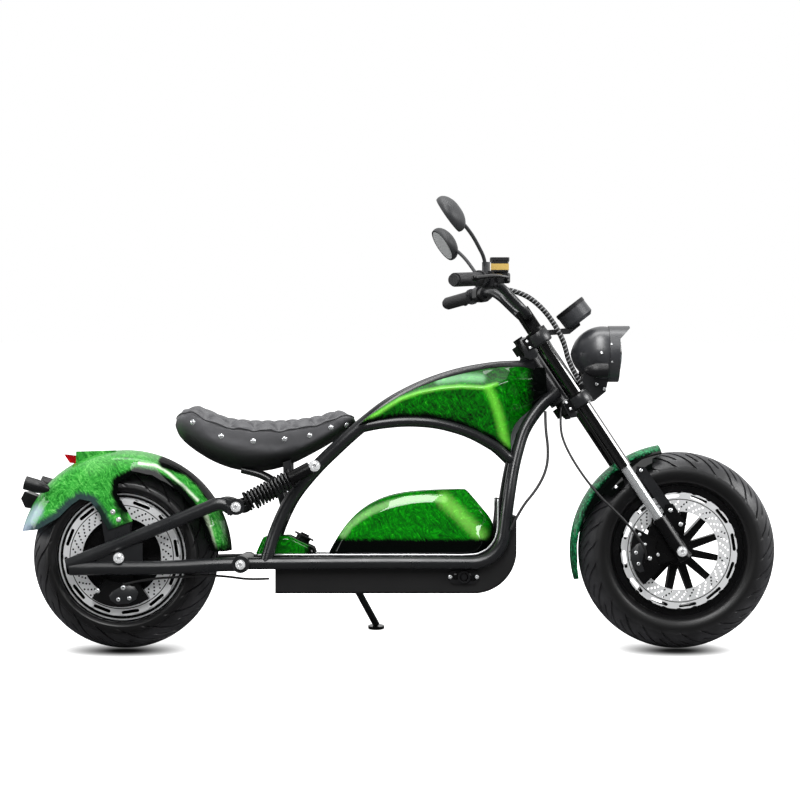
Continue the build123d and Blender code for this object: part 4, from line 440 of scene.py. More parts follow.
frontRubber = tyreFinish("tyreRubberFront", frontHub)
rearRubber = tyreFinish("tyreRubberRear", rearHub)
leather = leatherFinish("charcoalPebbledLeather")
sleeve = sleeveFinish("braidedHarnessSleeve")
lampGlass = clearFinish("clearLampGlass", "#F4F7F8", 0.02, 0.05)
finishes = (
    (frontRubber, "front_tyre"), (rearRubber, "rear_tyre"), (leather, "seat"),
    (discFinish("groundDiscSteelFront", frontHub), "front_disc"),
    (discFinish("groundDiscSteelRear", rearHub), "rear_disc"),
    (gripFinish("meshPatternGripRubber"), "grips"),
    (castBlack, "front_rim rear_rim hub_motor fork_lugs top_clamp lower_clamp brake_levers"
     " front_caliper deck_tray shock_bodies rear_caliper"),
    (tubeCoat, "handlebar lamp_brackets guard_braces side_stand steering_head cradle_tubes"
     " top_tubes arch_tubes cross_tubes seat_frame swing_arm guard_brackets stand_bracket"),
    (blackPlastic, "bar_controls fluid_reservoir front_indicators charge_fittings rear_indicators"),
    (hoseRubber, "front_brake_hose bar_harness frame_hose rear_brake_hose"),
    (zinc, "front_axle arm_bolts rear_axle"), (lampCoat, "speedometer headlamp_shell"),
    (anodised, "fork_outers"), (chrome, "stanchions"), (mirrorCoat, "mirror_shells"),
    (mirrorGlass, "mirror_glass"), (lampGlass, "headlamp_lens"), (springSteel, "shock_springs"),
    (clearFinish("redAcrylicLens", "#C3101B", 0.10, 0.2, 0.55), "tail_lamp"),
    (tealPaint, "front_guard"), (tankPaint, "tank_cover"), (tunnelPaint, "tunnel_cover rear_cover"),
    (guardPaint, "rear_guard"), (greyPanel, "inner_panel"), (caseCoat, "battery_case"),
    (cellWrap, "battery_pack"),
)
dressed = 0
for finish, names in finishes:
    for name in names.split():
        part = nodes[name]
        if not part.material_slots:
            part.data.materials.append(finish)
        for slotOf in part.material_slots:
            slotOf.material = finish
        dressed += 1
print("finishes set on", dressed, "parts")


# objects, meshes and plain shapes
def placed(name, data):  # an object in the scene
    thing = bpy.data.objects.new(name, data)
    scene.collection.objects.link(thing)
    return thing


def meshOf(name, points, faces, place=fromMm):
    mesh = bpy.data.meshes.new(name)
    mesh.from_pydata([tuple(place @ Vector(p)) for p in points], [], faces)
    return mesh


def evaluated(thing):  # the mesh that a thing's modifiers make
    bpy.context.view_layer.update()
    ready = thing.evaluated_get(bpy.context.evaluated_depsgraph_get())
    return bpy.data.meshes.new_from_object(ready)


def dressPiece(name, body, material, mesh, smooth=True, sharp=None):
    mesh.name = name
    if material is not None:
        mesh.materials.clear()
        mesh.materials.append(material)
    for face in mesh.polygons:
        face.use_smooth = smooth
    if sharp:
        mesh.set_sharp_from_angle(angle=math.radians(sharp))
    piece = placed(name, mesh)
    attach(piece, body)
    return piece


def outward(points, faces):  # turns every face outwards
    mesh = bmesh.new()
    made = [mesh.verts.new(p) for p in points]
    for face in faces:
        try:
            mesh.faces.new([made[i] for i in face])
        except ValueError:
            pass
    bmesh.ops.remove_doubles(mesh, verts=mesh.verts, dist=1e-4)
    bmesh.ops.recalc_face_normals(mesh, faces=mesh.faces)
    mesh.verts.index_update()
    result = ([v.co.copy() for v in mesh.verts], [[v.index for v in f.verts] for f in mesh.faces])
    mesh.free()
    return result


# one piece from several shapes, each (points, faces)
def makePiece(name, body, material, shapes, smooth=True, sharp=None):
    points, faces = [], []
    for somePoints, someFaces in shapes:
        start = len(points)
        points.extend(somePoints)
        faces.extend([[start + i for i in face] for face in someFaces])
    mesh = meshOf(name, *outward(points, faces))
    mesh.validate()
    return dressPiece(name, body, material, mesh, smooth, sharp)


def facing(direction, roll=None):  # a turn whose local z is this direction
    z = Vector(direction).normalized()
    guide = Vector(roll) if roll else (Vector((0, 0, 1)) if abs(z.z) < 0.9 else Vector((1, 0, 0)))
    x = (guide - z * guide.dot(z)).normalized()
    return Matrix((x, z.cross(x), z)).transposed().to_4x4()


def ringFaces(rings, count, closed=False):  # quads between rings of points numbered in turn
    faces = []
    for a in range(rings if closed else rings - 1):
        b = (a + 1) % rings
        for k in range(count):
            j = (k + 1) % count
            faces.append((a * count + k, a * count + j, b * count + j, b * count + k))
    return faces


def turnedShape(profile, centre, direction, count=48):  # a lathe shape from (radius, height)
    turn = Matrix.Translation(centre) @ facing(direction)
    points = []
    for radius, height in profile:
        for k in range(count):
            a = math.tau * k / count
            points.append(turn @ Vector((radius * math.cos(a), radius * math.sin(a), height)))
    isRing = profile[0][0] > 0 and profile[-1][0] > 0
    return points, ringFaces(len(profile), count, isRing)


def smoothLine(spots, steps, closed=False):  # Catmull-Rom through the spots
    spots = [Vector(s) for s in spots]
    n = len(spots)
    line = []
    for i in range(n if closed else n - 1):
        p0 = spots[(i - 1) % n] if closed or i > 0 else spots[0] * 2 - spots[1]
        p1, p2 = spots[i], spots[(i + 1) % n]
        p3 = spots[(i + 2) % n] if closed or i + 2 < n else spots[-1] * 2 - spots[-2]
        for s in range(steps):
            t = s / steps
            line.append(
                0.5 * ((2 * p1) + (p2 - p0) * t + (2 * p0 - 5 * p1 + 4 * p2 - p3) * t * t
                       + (3 * p1 - p0 - 3 * p2 + p3) * t ** 3)
            )
    if not closed:
        line.append(spots[-1].copy())
    return line


def pipeAlong(line, radius, count, closed=False):  # a tube on a line, turned without twist
    line = [Vector(p) for p in line]
    n = len(line)
    points, side = [], None
    for i, p in enumerate(line):
        ahead = line[(i + 1) % n] if closed or i + 1 < n else p
        behind = line[i - 1] if closed or i > 0 else p
        along = (ahead - behind).normalized()
        if side is None:
            side = along.orthogonal().normalized()
        side = (side - along * side.dot(along)).normalized()
        up = along.cross(side)
        for k in range(count):
            a = math.tau * k / count
            points.append(p + (side * math.cos(a) + up * math.sin(a)) * radius)
    faces = ringFaces(n, count, closed)
    if not closed:
        for base, place in ((0, line[0]), ((n - 1) * count, line[-1])):
            points.append(place)
            for k in range(count):
                faces.append((base + k, base + (k + 1) % count, len(points) - 1))
    return outward(points, faces)


# Geometry Nodes: what repeats is grown by a tree from seed points or from one sector
def startTree(name, inputs):  # (label, socket kind, default)
    tree = bpy.data.node_groups.new(name, "GeometryNodeTree")
    sockets = tree.interface
    sockets.new_socket("Geometry", in_out="INPUT", socket_type="NodeSocketGeometry")
    for label, kind, default in (*inputs, ("Finish", "Material", None)):
        item = sockets.new_socket(label, in_out="INPUT", socket_type="NodeSocket" + kind)
        if default is not None:
            item.default_value = default
    sockets.new_socket("Geometry", in_out="OUTPUT", socket_type="NodeSocketGeometry")
    return Web(tree), tree.nodes.new("NodeGroupInput").outputs


def endTree(web, start, shape):
    done = web.add("GeometryNodeSetMaterial", {"Geometry": shape, "Material": start["Finish"]})
    web.add("NodeGroupOutput", {"Geometry": done})
    return web.tree


def growPiece(name, tree, mesh, values, body, sharp=None):
    seed = placed(name, mesh)
    growth = seed.modifiers.new("grow", "NODES")
    growth.node_group = tree
    for item in tree.interface.items_tree:
        if item.item_type == "SOCKET" and item.in_out == "INPUT" and item.name in values:
            growth[item.identifier] = values[item.name]
    result = evaluated(seed)
    while len(result.materials) > 1:  # the empty slot of the seed points
        result.materials.pop(index=0)
    for face in result.polygons:
        face.material_index = 0
    bpy.data.objects.remove(seed)
    return dressPiece(name, body, None, result, sharp=sharp)


def seedMesh(name, rows):  # rows of (place, facing, size)
    mesh = meshOf(name, [place for place, way, size in rows], [])
    mesh.attributes.new("facing", "FLOAT_VECTOR", "POINT")
    mesh.attributes.new("size", "FLOAT", "POINT")
    for i, (place, way, size) in enumerate(rows):
        mesh.attributes["facing"].data[i].vector = parkedWay(way)
        mesh.attributes["size"].data[i].value = size * 0.001
    return mesh


def buildStampTree():  # a shape on every point, turned to "facing", sized by "size"
    web, start = startTree("stampsOnPoints", [("Stamp", "Object", None)])
    shape = web.add("GeometryNodeObjectInfo", {"Object": start["Stamp"]}).outputs["Geometry"]
    way, size = (
        web.add("GeometryNodeInputNamedAttribute", {"Name": name}, data_type=kind)
        for name, kind in (("facing", "FLOAT_VECTOR"), ("size", "FLOAT"))
    )
    turn = web.add("FunctionNodeAlignRotationToVector", {"Vector": way}, axis="Z")
    stamped = web.add("GeometryNodeInstanceOnPoints", {
        "Points": start["Geometry"], "Instance": shape, "Rotation": turn, "Scale": size,
    })
    return endTree(web, start, web.add("GeometryNodeRealizeInstances", {"Geometry": stamped}))


def buildRingTree():  # copies of one sector round an axle, welded into one skin
    web, start = startTree("ringOfSectors", [
        ("Count", "Int", 12), ("Centre", "Vector", None), ("Axis", "Vector", None),
        ("Weld", "Float", 0.00002),
    ])
    spots = web.add(
        "GeometryNodeMeshLine", {"Count": start["Count"], "Offset": (0.0, 0.0, 0.0)}, mode="OFFSET",
    )
    share = web.number("DIVIDE", web.add("GeometryNodeInputIndex"), start["Count"])
    angle = web.number("MULTIPLY", share, math.tau)
    turn = web.add("FunctionNodeAxisAngleToRotation", {"Axis": start["Axis"], "Angle": angle})
    away = web.vector("SCALE", start["Centre"], Scale=-1.0)
    centred = web.add("GeometryNodeTransform", {"Geometry": start["Geometry"], "Translation": away})
    ring = web.add(
        "GeometryNodeInstanceOnPoints", {"Points": spots, "Instance": centred, "Rotation": turn},
    )
    real = web.add("GeometryNodeRealizeInstances", {"Geometry": ring})
    back = web.add("GeometryNodeTransform", {"Geometry": real, "Translation": start["Centre"]})
    welded = web.add("GeometryNodeMergeByDistance", {"Geometry": back, "Distance": start["Weld"]})
    return endTree(web, start, welded)


def buildCoilTree():  # a coil spring: a spiral swept with round wire, laid along its axis
    web, start = startTree("coilSpring", [
        ("Turns", "Float", 12.0), ("Coil Radius", "Float", 0.02), ("Wire Radius", "Float", 0.003),
        ("Length", "Float", 0.1), ("Foot", "Vector", None), ("Turn", "Vector", None),
    ])
    spiral = web.add("GeometryNodeCurveSpiral", {
        "Resolution": 28, "Rotations": start["Turns"], "Start Radius": start["Coil Radius"],
        "End Radius": start["Coil Radius"], "Height": start["Length"], "Reverse": False,
    })
    wire = web.add(
        "GeometryNodeCurvePrimitiveCircle", {"Resolution": 10, "Radius": start["Wire Radius"]},
        mode="RADIUS",
    )
    swept = web.add(
        "GeometryNodeCurveToMesh", {"Curve": spiral, "Profile Curve": wire, "Fill Caps": True},
    )
    laid = {"Geometry": swept, "Translation": start["Foot"], "Rotation": start["Turn"]}
    return endTree(web, start, web.add("GeometryNodeTransform", laid))


def stampOf(name, profile, count, socket=None):  # a unit head for the stamp tree, foot at z 0
    points, faces = turnedShape(profile, Vector((0, 0, 0)), (0, 0, 1), count)
    if socket:  # a hexagon sunk into the top
        rim, top = len(points) - count, len(points)
        inner = []
        for k in range(count):
            a = math.tau * k / count
            fromFlat = a % (math.pi / 3) - math.pi / 6
            reach = socket["radius"] * math.cos(math.pi / 6) / math.cos(fromFlat)
            inner.append(Vector((reach * math.cos(a), reach * math.sin(a), profile[-1][1])))
        points.extend(inner)
        points.extend([Vector((p.x, p.y, socket["floor"])) for p in inner])
        points.append(Vector((0, 0, socket["tip"])))
        for k in range(count):
            j = (k + 1) % count
            faces.append((rim + k, rim + j, top + j, top + k))
            faces.append((top + k, top + j, top + count + j, top + count + k))
            faces.append((top + count + k, top + count + j, len(points) - 1))
    return placed(name, meshOf(name, *outward(points, faces), Matrix.Identity(4)))


stampTree, ringTree, coilTree = buildStampTree(), buildRingTree(), buildCoilTree()
print("node trees built")

# hoses and the wiring harness
cordShape = {"bevelSteps": 5, "lineSteps": 14, "order": 3}
cords = {
    "front_brake_hose": {
        "body": "fork", "diameter": 6.0, "length": 460.6, "stiffness": "medium", "lay": "loose",
        "route": [(399.8, -52, 599.2), (394, -62, 552), (408, -84, 500), (446, -108, 434),
                  (492, -122, 376), (542, -127, 330), (582, -122, 282), (604, -108, 246),
                  (606, -92, 226)],
    },
    "frame_hose": {
        "body": "frame", "diameter": 7.0, "length": 325.6, "stiffness": "medium", "lay": "loose",
        "route": [(360, -50, 590), (359, -66, 550), (366, -78, 496), (361, -90, 446),
                  (336, -104, 398), (294, -121, 350), (271.3, -118.4, 300)],
    },
    "bar_harness": {
        "body": "fork", "diameter": 13.0, "length": 322.9, "stiffness": "medium", "lay": "loose",
        "route": [(262, -74, 890), (302, -62, 884), (350, -50, 850), (384, -46, 806),
                  (408, -44, 760), (420, -40, 706), (452, -34.9, 656)],
    },
    "rear_brake_hose": {
        "body": "frame", "diameter": 6.0, "length": 361.7, "stiffness": "medium", "lay": "loose",
        "route": [(-678, -123.1, 165), (-640, -123.6, 174), (-588, -122, 181), (-530, -120, 184),
                  (-470, -122, 188), (-418, -118, 184), (-368, -104, 176), (-322, -92, 178)],
    },
}
for name, facts in cords.items():
    curve = bpy.data.curves.new(name + "_line", "CURVE")
    curve.dimensions = "3D"
    curve.bevel_depth = facts["diameter"] * 0.0005
    curve.bevel_resolution = cordShape["bevelSteps"]
    curve.resolution_u = cordShape["lineSteps"]
    curve.use_fill_caps = True
    spline = curve.splines.new("NURBS")
    spline.points.add(len(facts["route"]) - 1)
    for point, spot in zip(spline.points, facts["route"]):
        point.co = (*(fromMm @ Vector(spot)), 1.0)
    spline.order_u = cordShape["order"]
    spline.use_endpoint_u = True
    curve.materials.append(sleeve if name == "bar_harness" else hoseRubber)
    line = placed(name + "_line", curve)
    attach(line, facts["body"])
    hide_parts(name)
print("cords laid:", len(cords))

# tyres: one pitch of tread, repeated round the axle
tyres = {
    "front": {
        "hub": frontHub, "radius": 245.0, "width": 130.0, "crown": 68.0, "rimWidth": 92.0,
        "pitches": 26, "sweep": 1.35, "grooveDepth": 4.2, "grooveWidth": 0.085,
        "shortGroove": (0.42, 0.78), "finish": frontRubber, "body": "front_wheel", "cut": None,
    },
    "rear": {
        "hub": rearHub, "radius": 230.0, "width": 208.0, "crown": 118.0, "rimWidth": 158.0,
        "pitches": 18, "sweep": 1.5, "grooveDepth": 5.0, "grooveWidth": 0.07,
        "shortGroove": (0.35, 0.7), "finish": rearRubber, "body": "rear_wheel", "cut": 22.0,
    },
}
section = {  # "wall" and "crownWall" are the carcass at the side and under the crown
    "treadShare": 0.86, "rimSeat": 152.4, "flange": 10.0, "clearance": 1.0, "wall": 9.0,
    "crownWall": 15.0, "rimWall": 6.0, "fit": 0.2, "wallShare": 0.55, "crownSteps": 40,
    "wallSteps": 18, "longGroove": (0.05, 0.16, 1.0, 1.22), "grooves": (0.25, 0.75),
    "grooveEdges": (-1.0, -0.72, 0.72, 1.0), "plain": (0.0, 0.085, 0.42, 0.5, 0.58, 0.92),
    "fade": 0.1, "wallRun": 60, "driftLimit": 1.3, "driftPower": 1.25, "sharp": 38, "weld": 0.00005,
    "lipRings": ((7, 1.5), (9.5, 1.5)), "shoulderRing": (9, 0.9), "ringHalf": 1.6,
}


def arcThrough(a, b, c, steps):  # points of a circle's arc from a over b to c, in the plane
    ax, ay, bx, by, cx, cy = *a, *b, *c
    d = 2 * (ax * (by - cy) + bx * (cy - ay) + cx * (ay - by))
    aa, bb, cc = ax * ax + ay * ay, bx * bx + by * by, cx * cx + cy * cy
    ux = (aa * (by - cy) + bb * (cy - ay) + cc * (ay - by)) / d
    uy = (aa * (cx - bx) + bb * (ax - cx) + cc * (bx - ax)) / d
    radius = math.hypot(ax - ux, ay - uy)
    first, middle, last = (math.atan2(y - uy, x - ux) for x, y in (a, b, c))
    turn = (last - first) % math.tau
    if (middle - first) % math.tau > turn:
        turn -= math.tau
    angles = [first + turn * i / steps for i in range(steps + 1)]
    return [(ux + radius * math.cos(angle), uy + radius * math.sin(angle)) for angle in angles]


def ease(value, low, high):
    t = min(max((value - low) / (high - low), 0.0), 1.0)
    return t * t * (3 - 2 * t)


for key, size in tyres.items():
    half, radius, wall = size["width"] / 2, size["radius"], section["wall"]
    edgeY = half * section["treadShare"]
    edgeR = radius - size["crown"] + math.sqrt(size["crown"] ** 2 - edgeY ** 2)
    lipR = section["rimSeat"] + section["flange"] + section["clearance"]
    wallR = lipR + (edgeR - lipR) * section["wallShare"]
    lipY = size["rimWidth"] / 2 + section["clearance"]
    beadY = size["rimWidth"] / 2 - section["rimWall"] - section["fit"]
    innerY, underY, seatR = beadY - wall, edgeY - wall, section["rimSeat"] + section["fit"]
    crownLine = arcThrough((-edgeY, edgeR), (0, radius), (edgeY, edgeR), section["crownSteps"])
    wallLine = arcThrough((edgeY, edgeR), (half, wallR), (lipY, lipR), section["wallSteps"])
    outer = [(-y, r) for y, r in reversed(wallLine[1:])] + crownLine + wallLine[1:]
    near = [  # the carcass's inside, from the rim to the crown
        (beadY, lipR), (beadY, seatR), (innerY, seatR), (innerY, lipR), (underY, edgeR - wall),
        (underY * 0.5, radius - section["crownWall"]),
    ]
    inner = near + [(0, radius - wall)] + [(-y, r) for y, r in reversed(near)]
    if size["cut"]:
        inner = [(y, min(r, edgeR + size["cut"])) for y, r in inner]
    places = [(p, None, False) for p in section["plain"]]
    for centre in section["grooves"]:
        for step in section["grooveEdges"]:
            places.append((centre + step * size["grooveWidth"], centre, abs(step) < 0.9))
    places.sort(key=lambda row: row[0])
    places.append((1.0, None, False))
    pitch = math.tau / size["pitches"]
    mouldRings = [(lipR + up, rise) for up, rise in section["lipRings"]]
    mouldRings.append((edgeR - section["shoulderRing"][0], section["shoulderRing"][1]))
    points = []
    for place, centre, deep in places:
        for index, (y, r) in enumerate(outer + inner):
            drift, sink = 0.0, 0.0
            if index < len(outer):
                onTread = r >= edgeR - 0.01
                tread = abs(y) / edgeY if onTread else 1.0 + (edgeR - r) / section["wallRun"]
                drift = size["sweep"] * min(tread, section["driftLimit"]) ** section["driftPower"]
                if deep and (y < 0) == (centre < 0.5):
                    a, b, c, d = section["longGroove"]
                    sink = ease(tread, a, b) * (1 - ease(tread, c, d))
                elif deep:
                    (low, high), fade = size["shortGroove"], section["fade"]
                    sink = ease(tread, low, low + fade) * (1 - ease(tread, high, high + fade))
                if r < edgeR - 1:
                    for ringR, rise in mouldRings:
                        if abs(r - ringR) < section["ringHalf"]:
                            sink -= rise / size["grooveDepth"]
            angle = (place + drift) * pitch
            if sink:
                before, after = outer[max(index - 1, 0)], outer[min(index + 1, len(outer) - 1)]
                ty, tr = after[0] - before[0], after[1] - before[1]
                depth = sink * size["grooveDepth"] / math.hypot(ty, tr)
                y, r = y + tr * depth, r - ty * depth
            points.append(size["hub"] + Vector((r * math.sin(angle), y, r * math.cos(angle))))
    sector = meshOf(key + "TreadPitch", points, ringFaces(len(places), len(outer + inner)))
    tyre = growPiece(
        key + "_tyre_carcass", ringTree, sector,
        {"Count": size["pitches"], "Centre": tuple(fromMm @ size["hub"]),
         "Axis": tuple(parkedWay((0, 1, 0))), "Weld": section["weld"], "Finish": size["finish"]},
        size["body"], sharp=section["sharp"],
    )
    mesh = bmesh.new()
    mesh.from_mesh(tyre.data)
    bmesh.ops.recalc_face_normals(mesh, faces=mesh.faces)
    mesh.to_mesh(tyre.data)
    openEdges = sum(1 for e in mesh.edges if len(e.link_faces) != 2)
    mesh.free()
    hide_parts(key + "_tyre")
    print(key, "tyre:", len(tyre.data.polygons), "faces, open edges", openEdges)

# seat: an inflated pad with a quilted top, piping and studs
seat = {
    "rows": [  # x, half width, underside z, seam z, top z on the centre line
        (-556, 50, 556, 566, 574), (-549, 92, 536, 580, 586), (-532, 116, 517, 590, 597),
        (-508, 128, 498, 592, 594), (-472, 136, 476, 573, 577), (-436, 140, 460, 556, 562),
        (-400, 141, 450, 548, 556), (-355, 137, 447, 544, 553), (-310, 129, 454, 543, 553),
        (-270, 121, 467, 546, 555), (-230, 110, 487, 553, 560), (-190, 98, 509, 565, 568),
        (-155, 88, 530, 581, 581), (-130, 78, 545, 589, 589), (-115, 60, 560, 585, 583),
        (-111, 40, 566, 578, 576),
    ],
    "sections": 40, "steps": 36, "shrink": 2.5, "voxel": 5.0, "pressure": 4.0, "frames": 20,
    "cap": 9.0, "tension": 12, "bending": 0.6, "diamond": 42.0, "quiltRise": 9.0, "quiltSink": 2.2,
    "quiltMargin": 15.0, "quiltEnds": (-545, -120), "quiltDrop": 14, "seamSink": 1.2,
    "seamReach": 30, "seamHalf": 5.0, "easing": (0.5, 6),
    "topCurve": (0.55, 1.4), "underCurve": (0.75, 0.9), "tuck": 0.16,  # powers across and up
    "pipe": 2.6, "pipeSides": 10, "pipeStart": -540, "pipeStep": 14, "pipeCount": 31,
    "pipeFront": [(-113, -60, 585), (-109, 0, 584), (-113, 60, 585)],
    "pipeRear": [(-553, 62, 574), (-557, 0, 572), (-553, -62, 574)],
    "studRadius": 7.0, "studSides": 20,
    "dome": [(0.0, -0.3), (1.0, -0.3), (1.0, 0.0), (0.94, 0.16), (0.75, 0.36), (0.42, 0.52),
             (0.0, 0.58)],
    "studs": [(-507, 562), (-437, 528), (-359, 516), (-283, 521), (-222, 530), (-170, 550),
              (-132, 556)],
}


def seatRow(x):  # the section's sizes at any x, smoothly between the rows
    rows = seat["rows"]
    if x <= rows[0][0]:
        return rows[0][1:]
    for i in range(len(rows) - 1):
        if x <= rows[i + 1][0]:
            t = (x - rows[i][0]) / (rows[i + 1][0] - rows[i][0])
            nearRows = [max(0, min(len(rows) - 1, k)) for k in range(i - 1, i + 3)]
            p0, p1, p2, p3 = (Vector(rows[k][1:]) for k in nearRows)
            return tuple(
                (2 * t ** 3 - 3 * t * t + 1) * p1 + (t ** 3 - 2 * t * t + t) * (p2 - p0) / 2
                + (-2 * t ** 3 + 3 * t * t) * p2 + (t ** 3 - t * t) * (p3 - p1) / 2
            )
    return rows[-1][1:]


def seatShell():  # the pad before it is inflated
    first, last, n = seat["rows"][0][0], seat["rows"][-1][0], seat["sections"]
    points = []
    for i in range(seat["steps"] + 1):
        x = first + (last - first) * (0.5 - 0.5 * math.cos(math.pi * i / seat["steps"]))
        wide, low, seam, top = seatRow(x)
        wide, low, top = wide - seat["shrink"], low + seat["shrink"], top - seat["shrink"] * 0.6
        for k in range(n):
            c, s = math.cos(math.tau * k / n), math.sin(math.tau * k / n)
            across, up = seat["topCurve" if s > 0 else "underCurve"]
            y = wide * math.copysign(abs(c) ** across, c)
            if s > 0:
                z = seam + (top - seam + 2) * s ** up
            else:
                y *= 1 - seat["tuck"] * abs(s) ** 2
                z = seam - (seam - low) * abs(s) ** up
            points.append(Vector((x, y, z)))
    faces = ringFaces(seat["steps"] + 1, n)
    for base, x in ((0, first - 1.0), (len(points) - n, last + 1.0)):
        middle = sum(points[base:base + n], Vector()) / n
        points.append(Vector((x, 0, middle.z)))
        faces += [(base + k, base + (k + 1) % n, len(points) - 1) for k in range(n)]
    return outward(points, faces)


pad = placed("saddlePad", meshOf("saddlePad", *seatShell()))
remesh = pad.modifiers.new("remesh", "REMESH")
remesh.mode = "VOXEL"
remesh.voxel_size = seat["voxel"] * 0.001
even = evaluated(pad)
pad.modifiers.clear()
pad.data = even
cloth = pad.modifiers.new("cloth", "CLOTH")
cloth.settings.use_pressure = True
cloth.settings.uniform_pressure_force = seat["pressure"]
cloth.settings.effector_weights.gravity = 0
cloth.settings.tension_stiffness = seat["tension"]
cloth.settings.bending_stiffness = seat["bending"]
cloth.point_cache.frame_start = 1
cloth.point_cache.frame_end = seat["frames"]
for frameNumber in range(1, seat["frames"] + 1):
    scene.frame_set(frameNumber)
swollen = evaluated(pad)
pad.modifiers.clear()
scene.frame_set(1)
limit = seat["cap"] * 0.001
for before, after in zip(even.vertices, swollen.vertices):
    move = after.co - before.co
    if move.length > limit:
        move *= limit / move.length
    before.co += move
print("seat inflated")
eased = pad.modifiers.new("eased", "SMOOTH")
eased.factor, eased.iterations = seat["easing"]
finer = pad.modifiers.new("finer", "SUBSURF")
finer.levels = finer.render_levels = 1
fine = evaluated(pad)
bpy.data.objects.remove(pad)
fine.transform(toMm)

# the sewn diamonds on top, fading out towards the seam
fine.update()
quiltTail, quiltNose = seat["quiltEnds"]
across = seat["diamond"] * math.sqrt(2)
for vertex, normal in zip(fine.vertices, [v.normal.copy() for v in fine.vertices]):
    x, y, z = vertex.co
    wide, low, seam, top = seatRow(x)
    inside = wide - abs(y)
    edge = min(inside, x - quiltTail, quiltNose - x)
    reach = ease(edge, 4, seat["quiltMargin"]) * ease(normal.z, 0.35, 0.7)
    if z > seam - seat["quiltDrop"] and reach > 0:
        u, v = math.pi * (x + y) / across, math.pi * (x - y) / across
        puff = (abs(math.sin(u)) * abs(math.sin(v))) ** 0.5
        vertex.co += normal * (puff * seat["quiltRise"] - seat["quiltSink"]) * reach
    if inside < seat["seamReach"]:
        vertex.co -= normal * math.exp(-((z - seam) / seat["seamHalf"]) ** 2) * seat["seamSink"]
fine.update()
cushion = dressPiece("saddle_pad", "frame", leather, fine)
fine.transform(fromMm)
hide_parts("seat")


def surfaceTree(meshes):  # the outer surface of some meshes, upright in millimetres
    mesh = bmesh.new()
    for data in meshes:
        mesh.from_mesh(data)
    mesh.transform(toMm)
    tree = BVHTree.FromBMesh(mesh)
    mesh.free()
    return tree


# piping along the seam, all the way round
seatTree = surfaceTree([fine])
seam = []
for i in range(seat["pipeCount"]):
    x = seat["pipeStart"] + i * seat["pipeStep"]
    row = seatRow(x)
    seam.append(Vector((x, -row[0] * 0.985, row[2])))
spots = seam + seat["pipeFront"] + [(p.x, -p.y, p.z) for p in reversed(seam)] + seat["pipeRear"]
loop = []
for spot in smoothLine(spots, 4, closed=True):
    hit, normal = seatTree.find_nearest(spot)[:2]
    loop.append(hit + normal * seat["pipe"] * 0.35)
for _ in range(3):
    loop = [(loop[i - 1] + loop[i] * 2 + loop[(i + 1) % len(loop)]) / 4 for i in range(len(loop))]
piping = pipeAlong(loop, seat["pipe"], seat["pipeSides"], closed=True)
makePiece("saddle_piping", "frame", leather, [piping])

# chrome dome studs along each side
far = 320  # where rays start, beyond the machine's side
dome = stampOf("domeStud", seat["dome"], seat["studSides"])
rows = []
for side in (-1, 1):
    for x, z in seat["studs"]:
        hit, normal = seatTree.ray_cast(Vector((x, side * far, z)), Vector((0, -side, 0)))[:2]
        rows.append((hit, normal, seat["studRadius"]))
growPiece(
    "saddle_studs", stampTree, seedMesh("saddleStudPlaces", rows),
    {"Stamp": dome, "Finish": chrome}, "frame",
)
bpy.data.objects.remove(dome)
print("seat finished")


# body panels: smooth painted skins over the CAD forms
def creasedSkin(name, material, rings, along, around, levels, replaced):
    # creases: along maps a point's number to a sharpness from 0 to 1, around a ring's number
    n = len(rings[0])
    mesh = bmesh.new()
    made = [mesh.verts.new(p) for ring in rings for p in ring]
    caps = [tuple(range(n)), tuple(reversed(range(len(made) - n, len(made))))]
    for face in ringFaces(len(rings), n) + caps:
        mesh.faces.new([made[i] for i in face])
    mesh.verts.index_update()
    layer = mesh.edges.layers.float.new("crease_edge")
    for edge in mesh.edges:
        a, b = sorted(v.index for v in edge.verts)
        edge[layer] = around.get(a // n, 0.0) if a // n == b // n else along.get(a % n, 0.0)
    bmesh.ops.recalc_face_normals(mesh, faces=mesh.faces)
    cage = bpy.data.meshes.new(name + "Cage")
    mesh.to_mesh(cage)
    mesh.free()
    cage.transform(fromMm)
    holder = placed(name + "Cage", cage)
    smooth = holder.modifiers.new("smooth", "SUBSURF")
    smooth.levels = smooth.render_levels = levels
    result = evaluated(holder)
    bpy.data.objects.remove(holder)
    piece = dressPiece(name, "frame", material, result)
    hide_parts(*replaced)


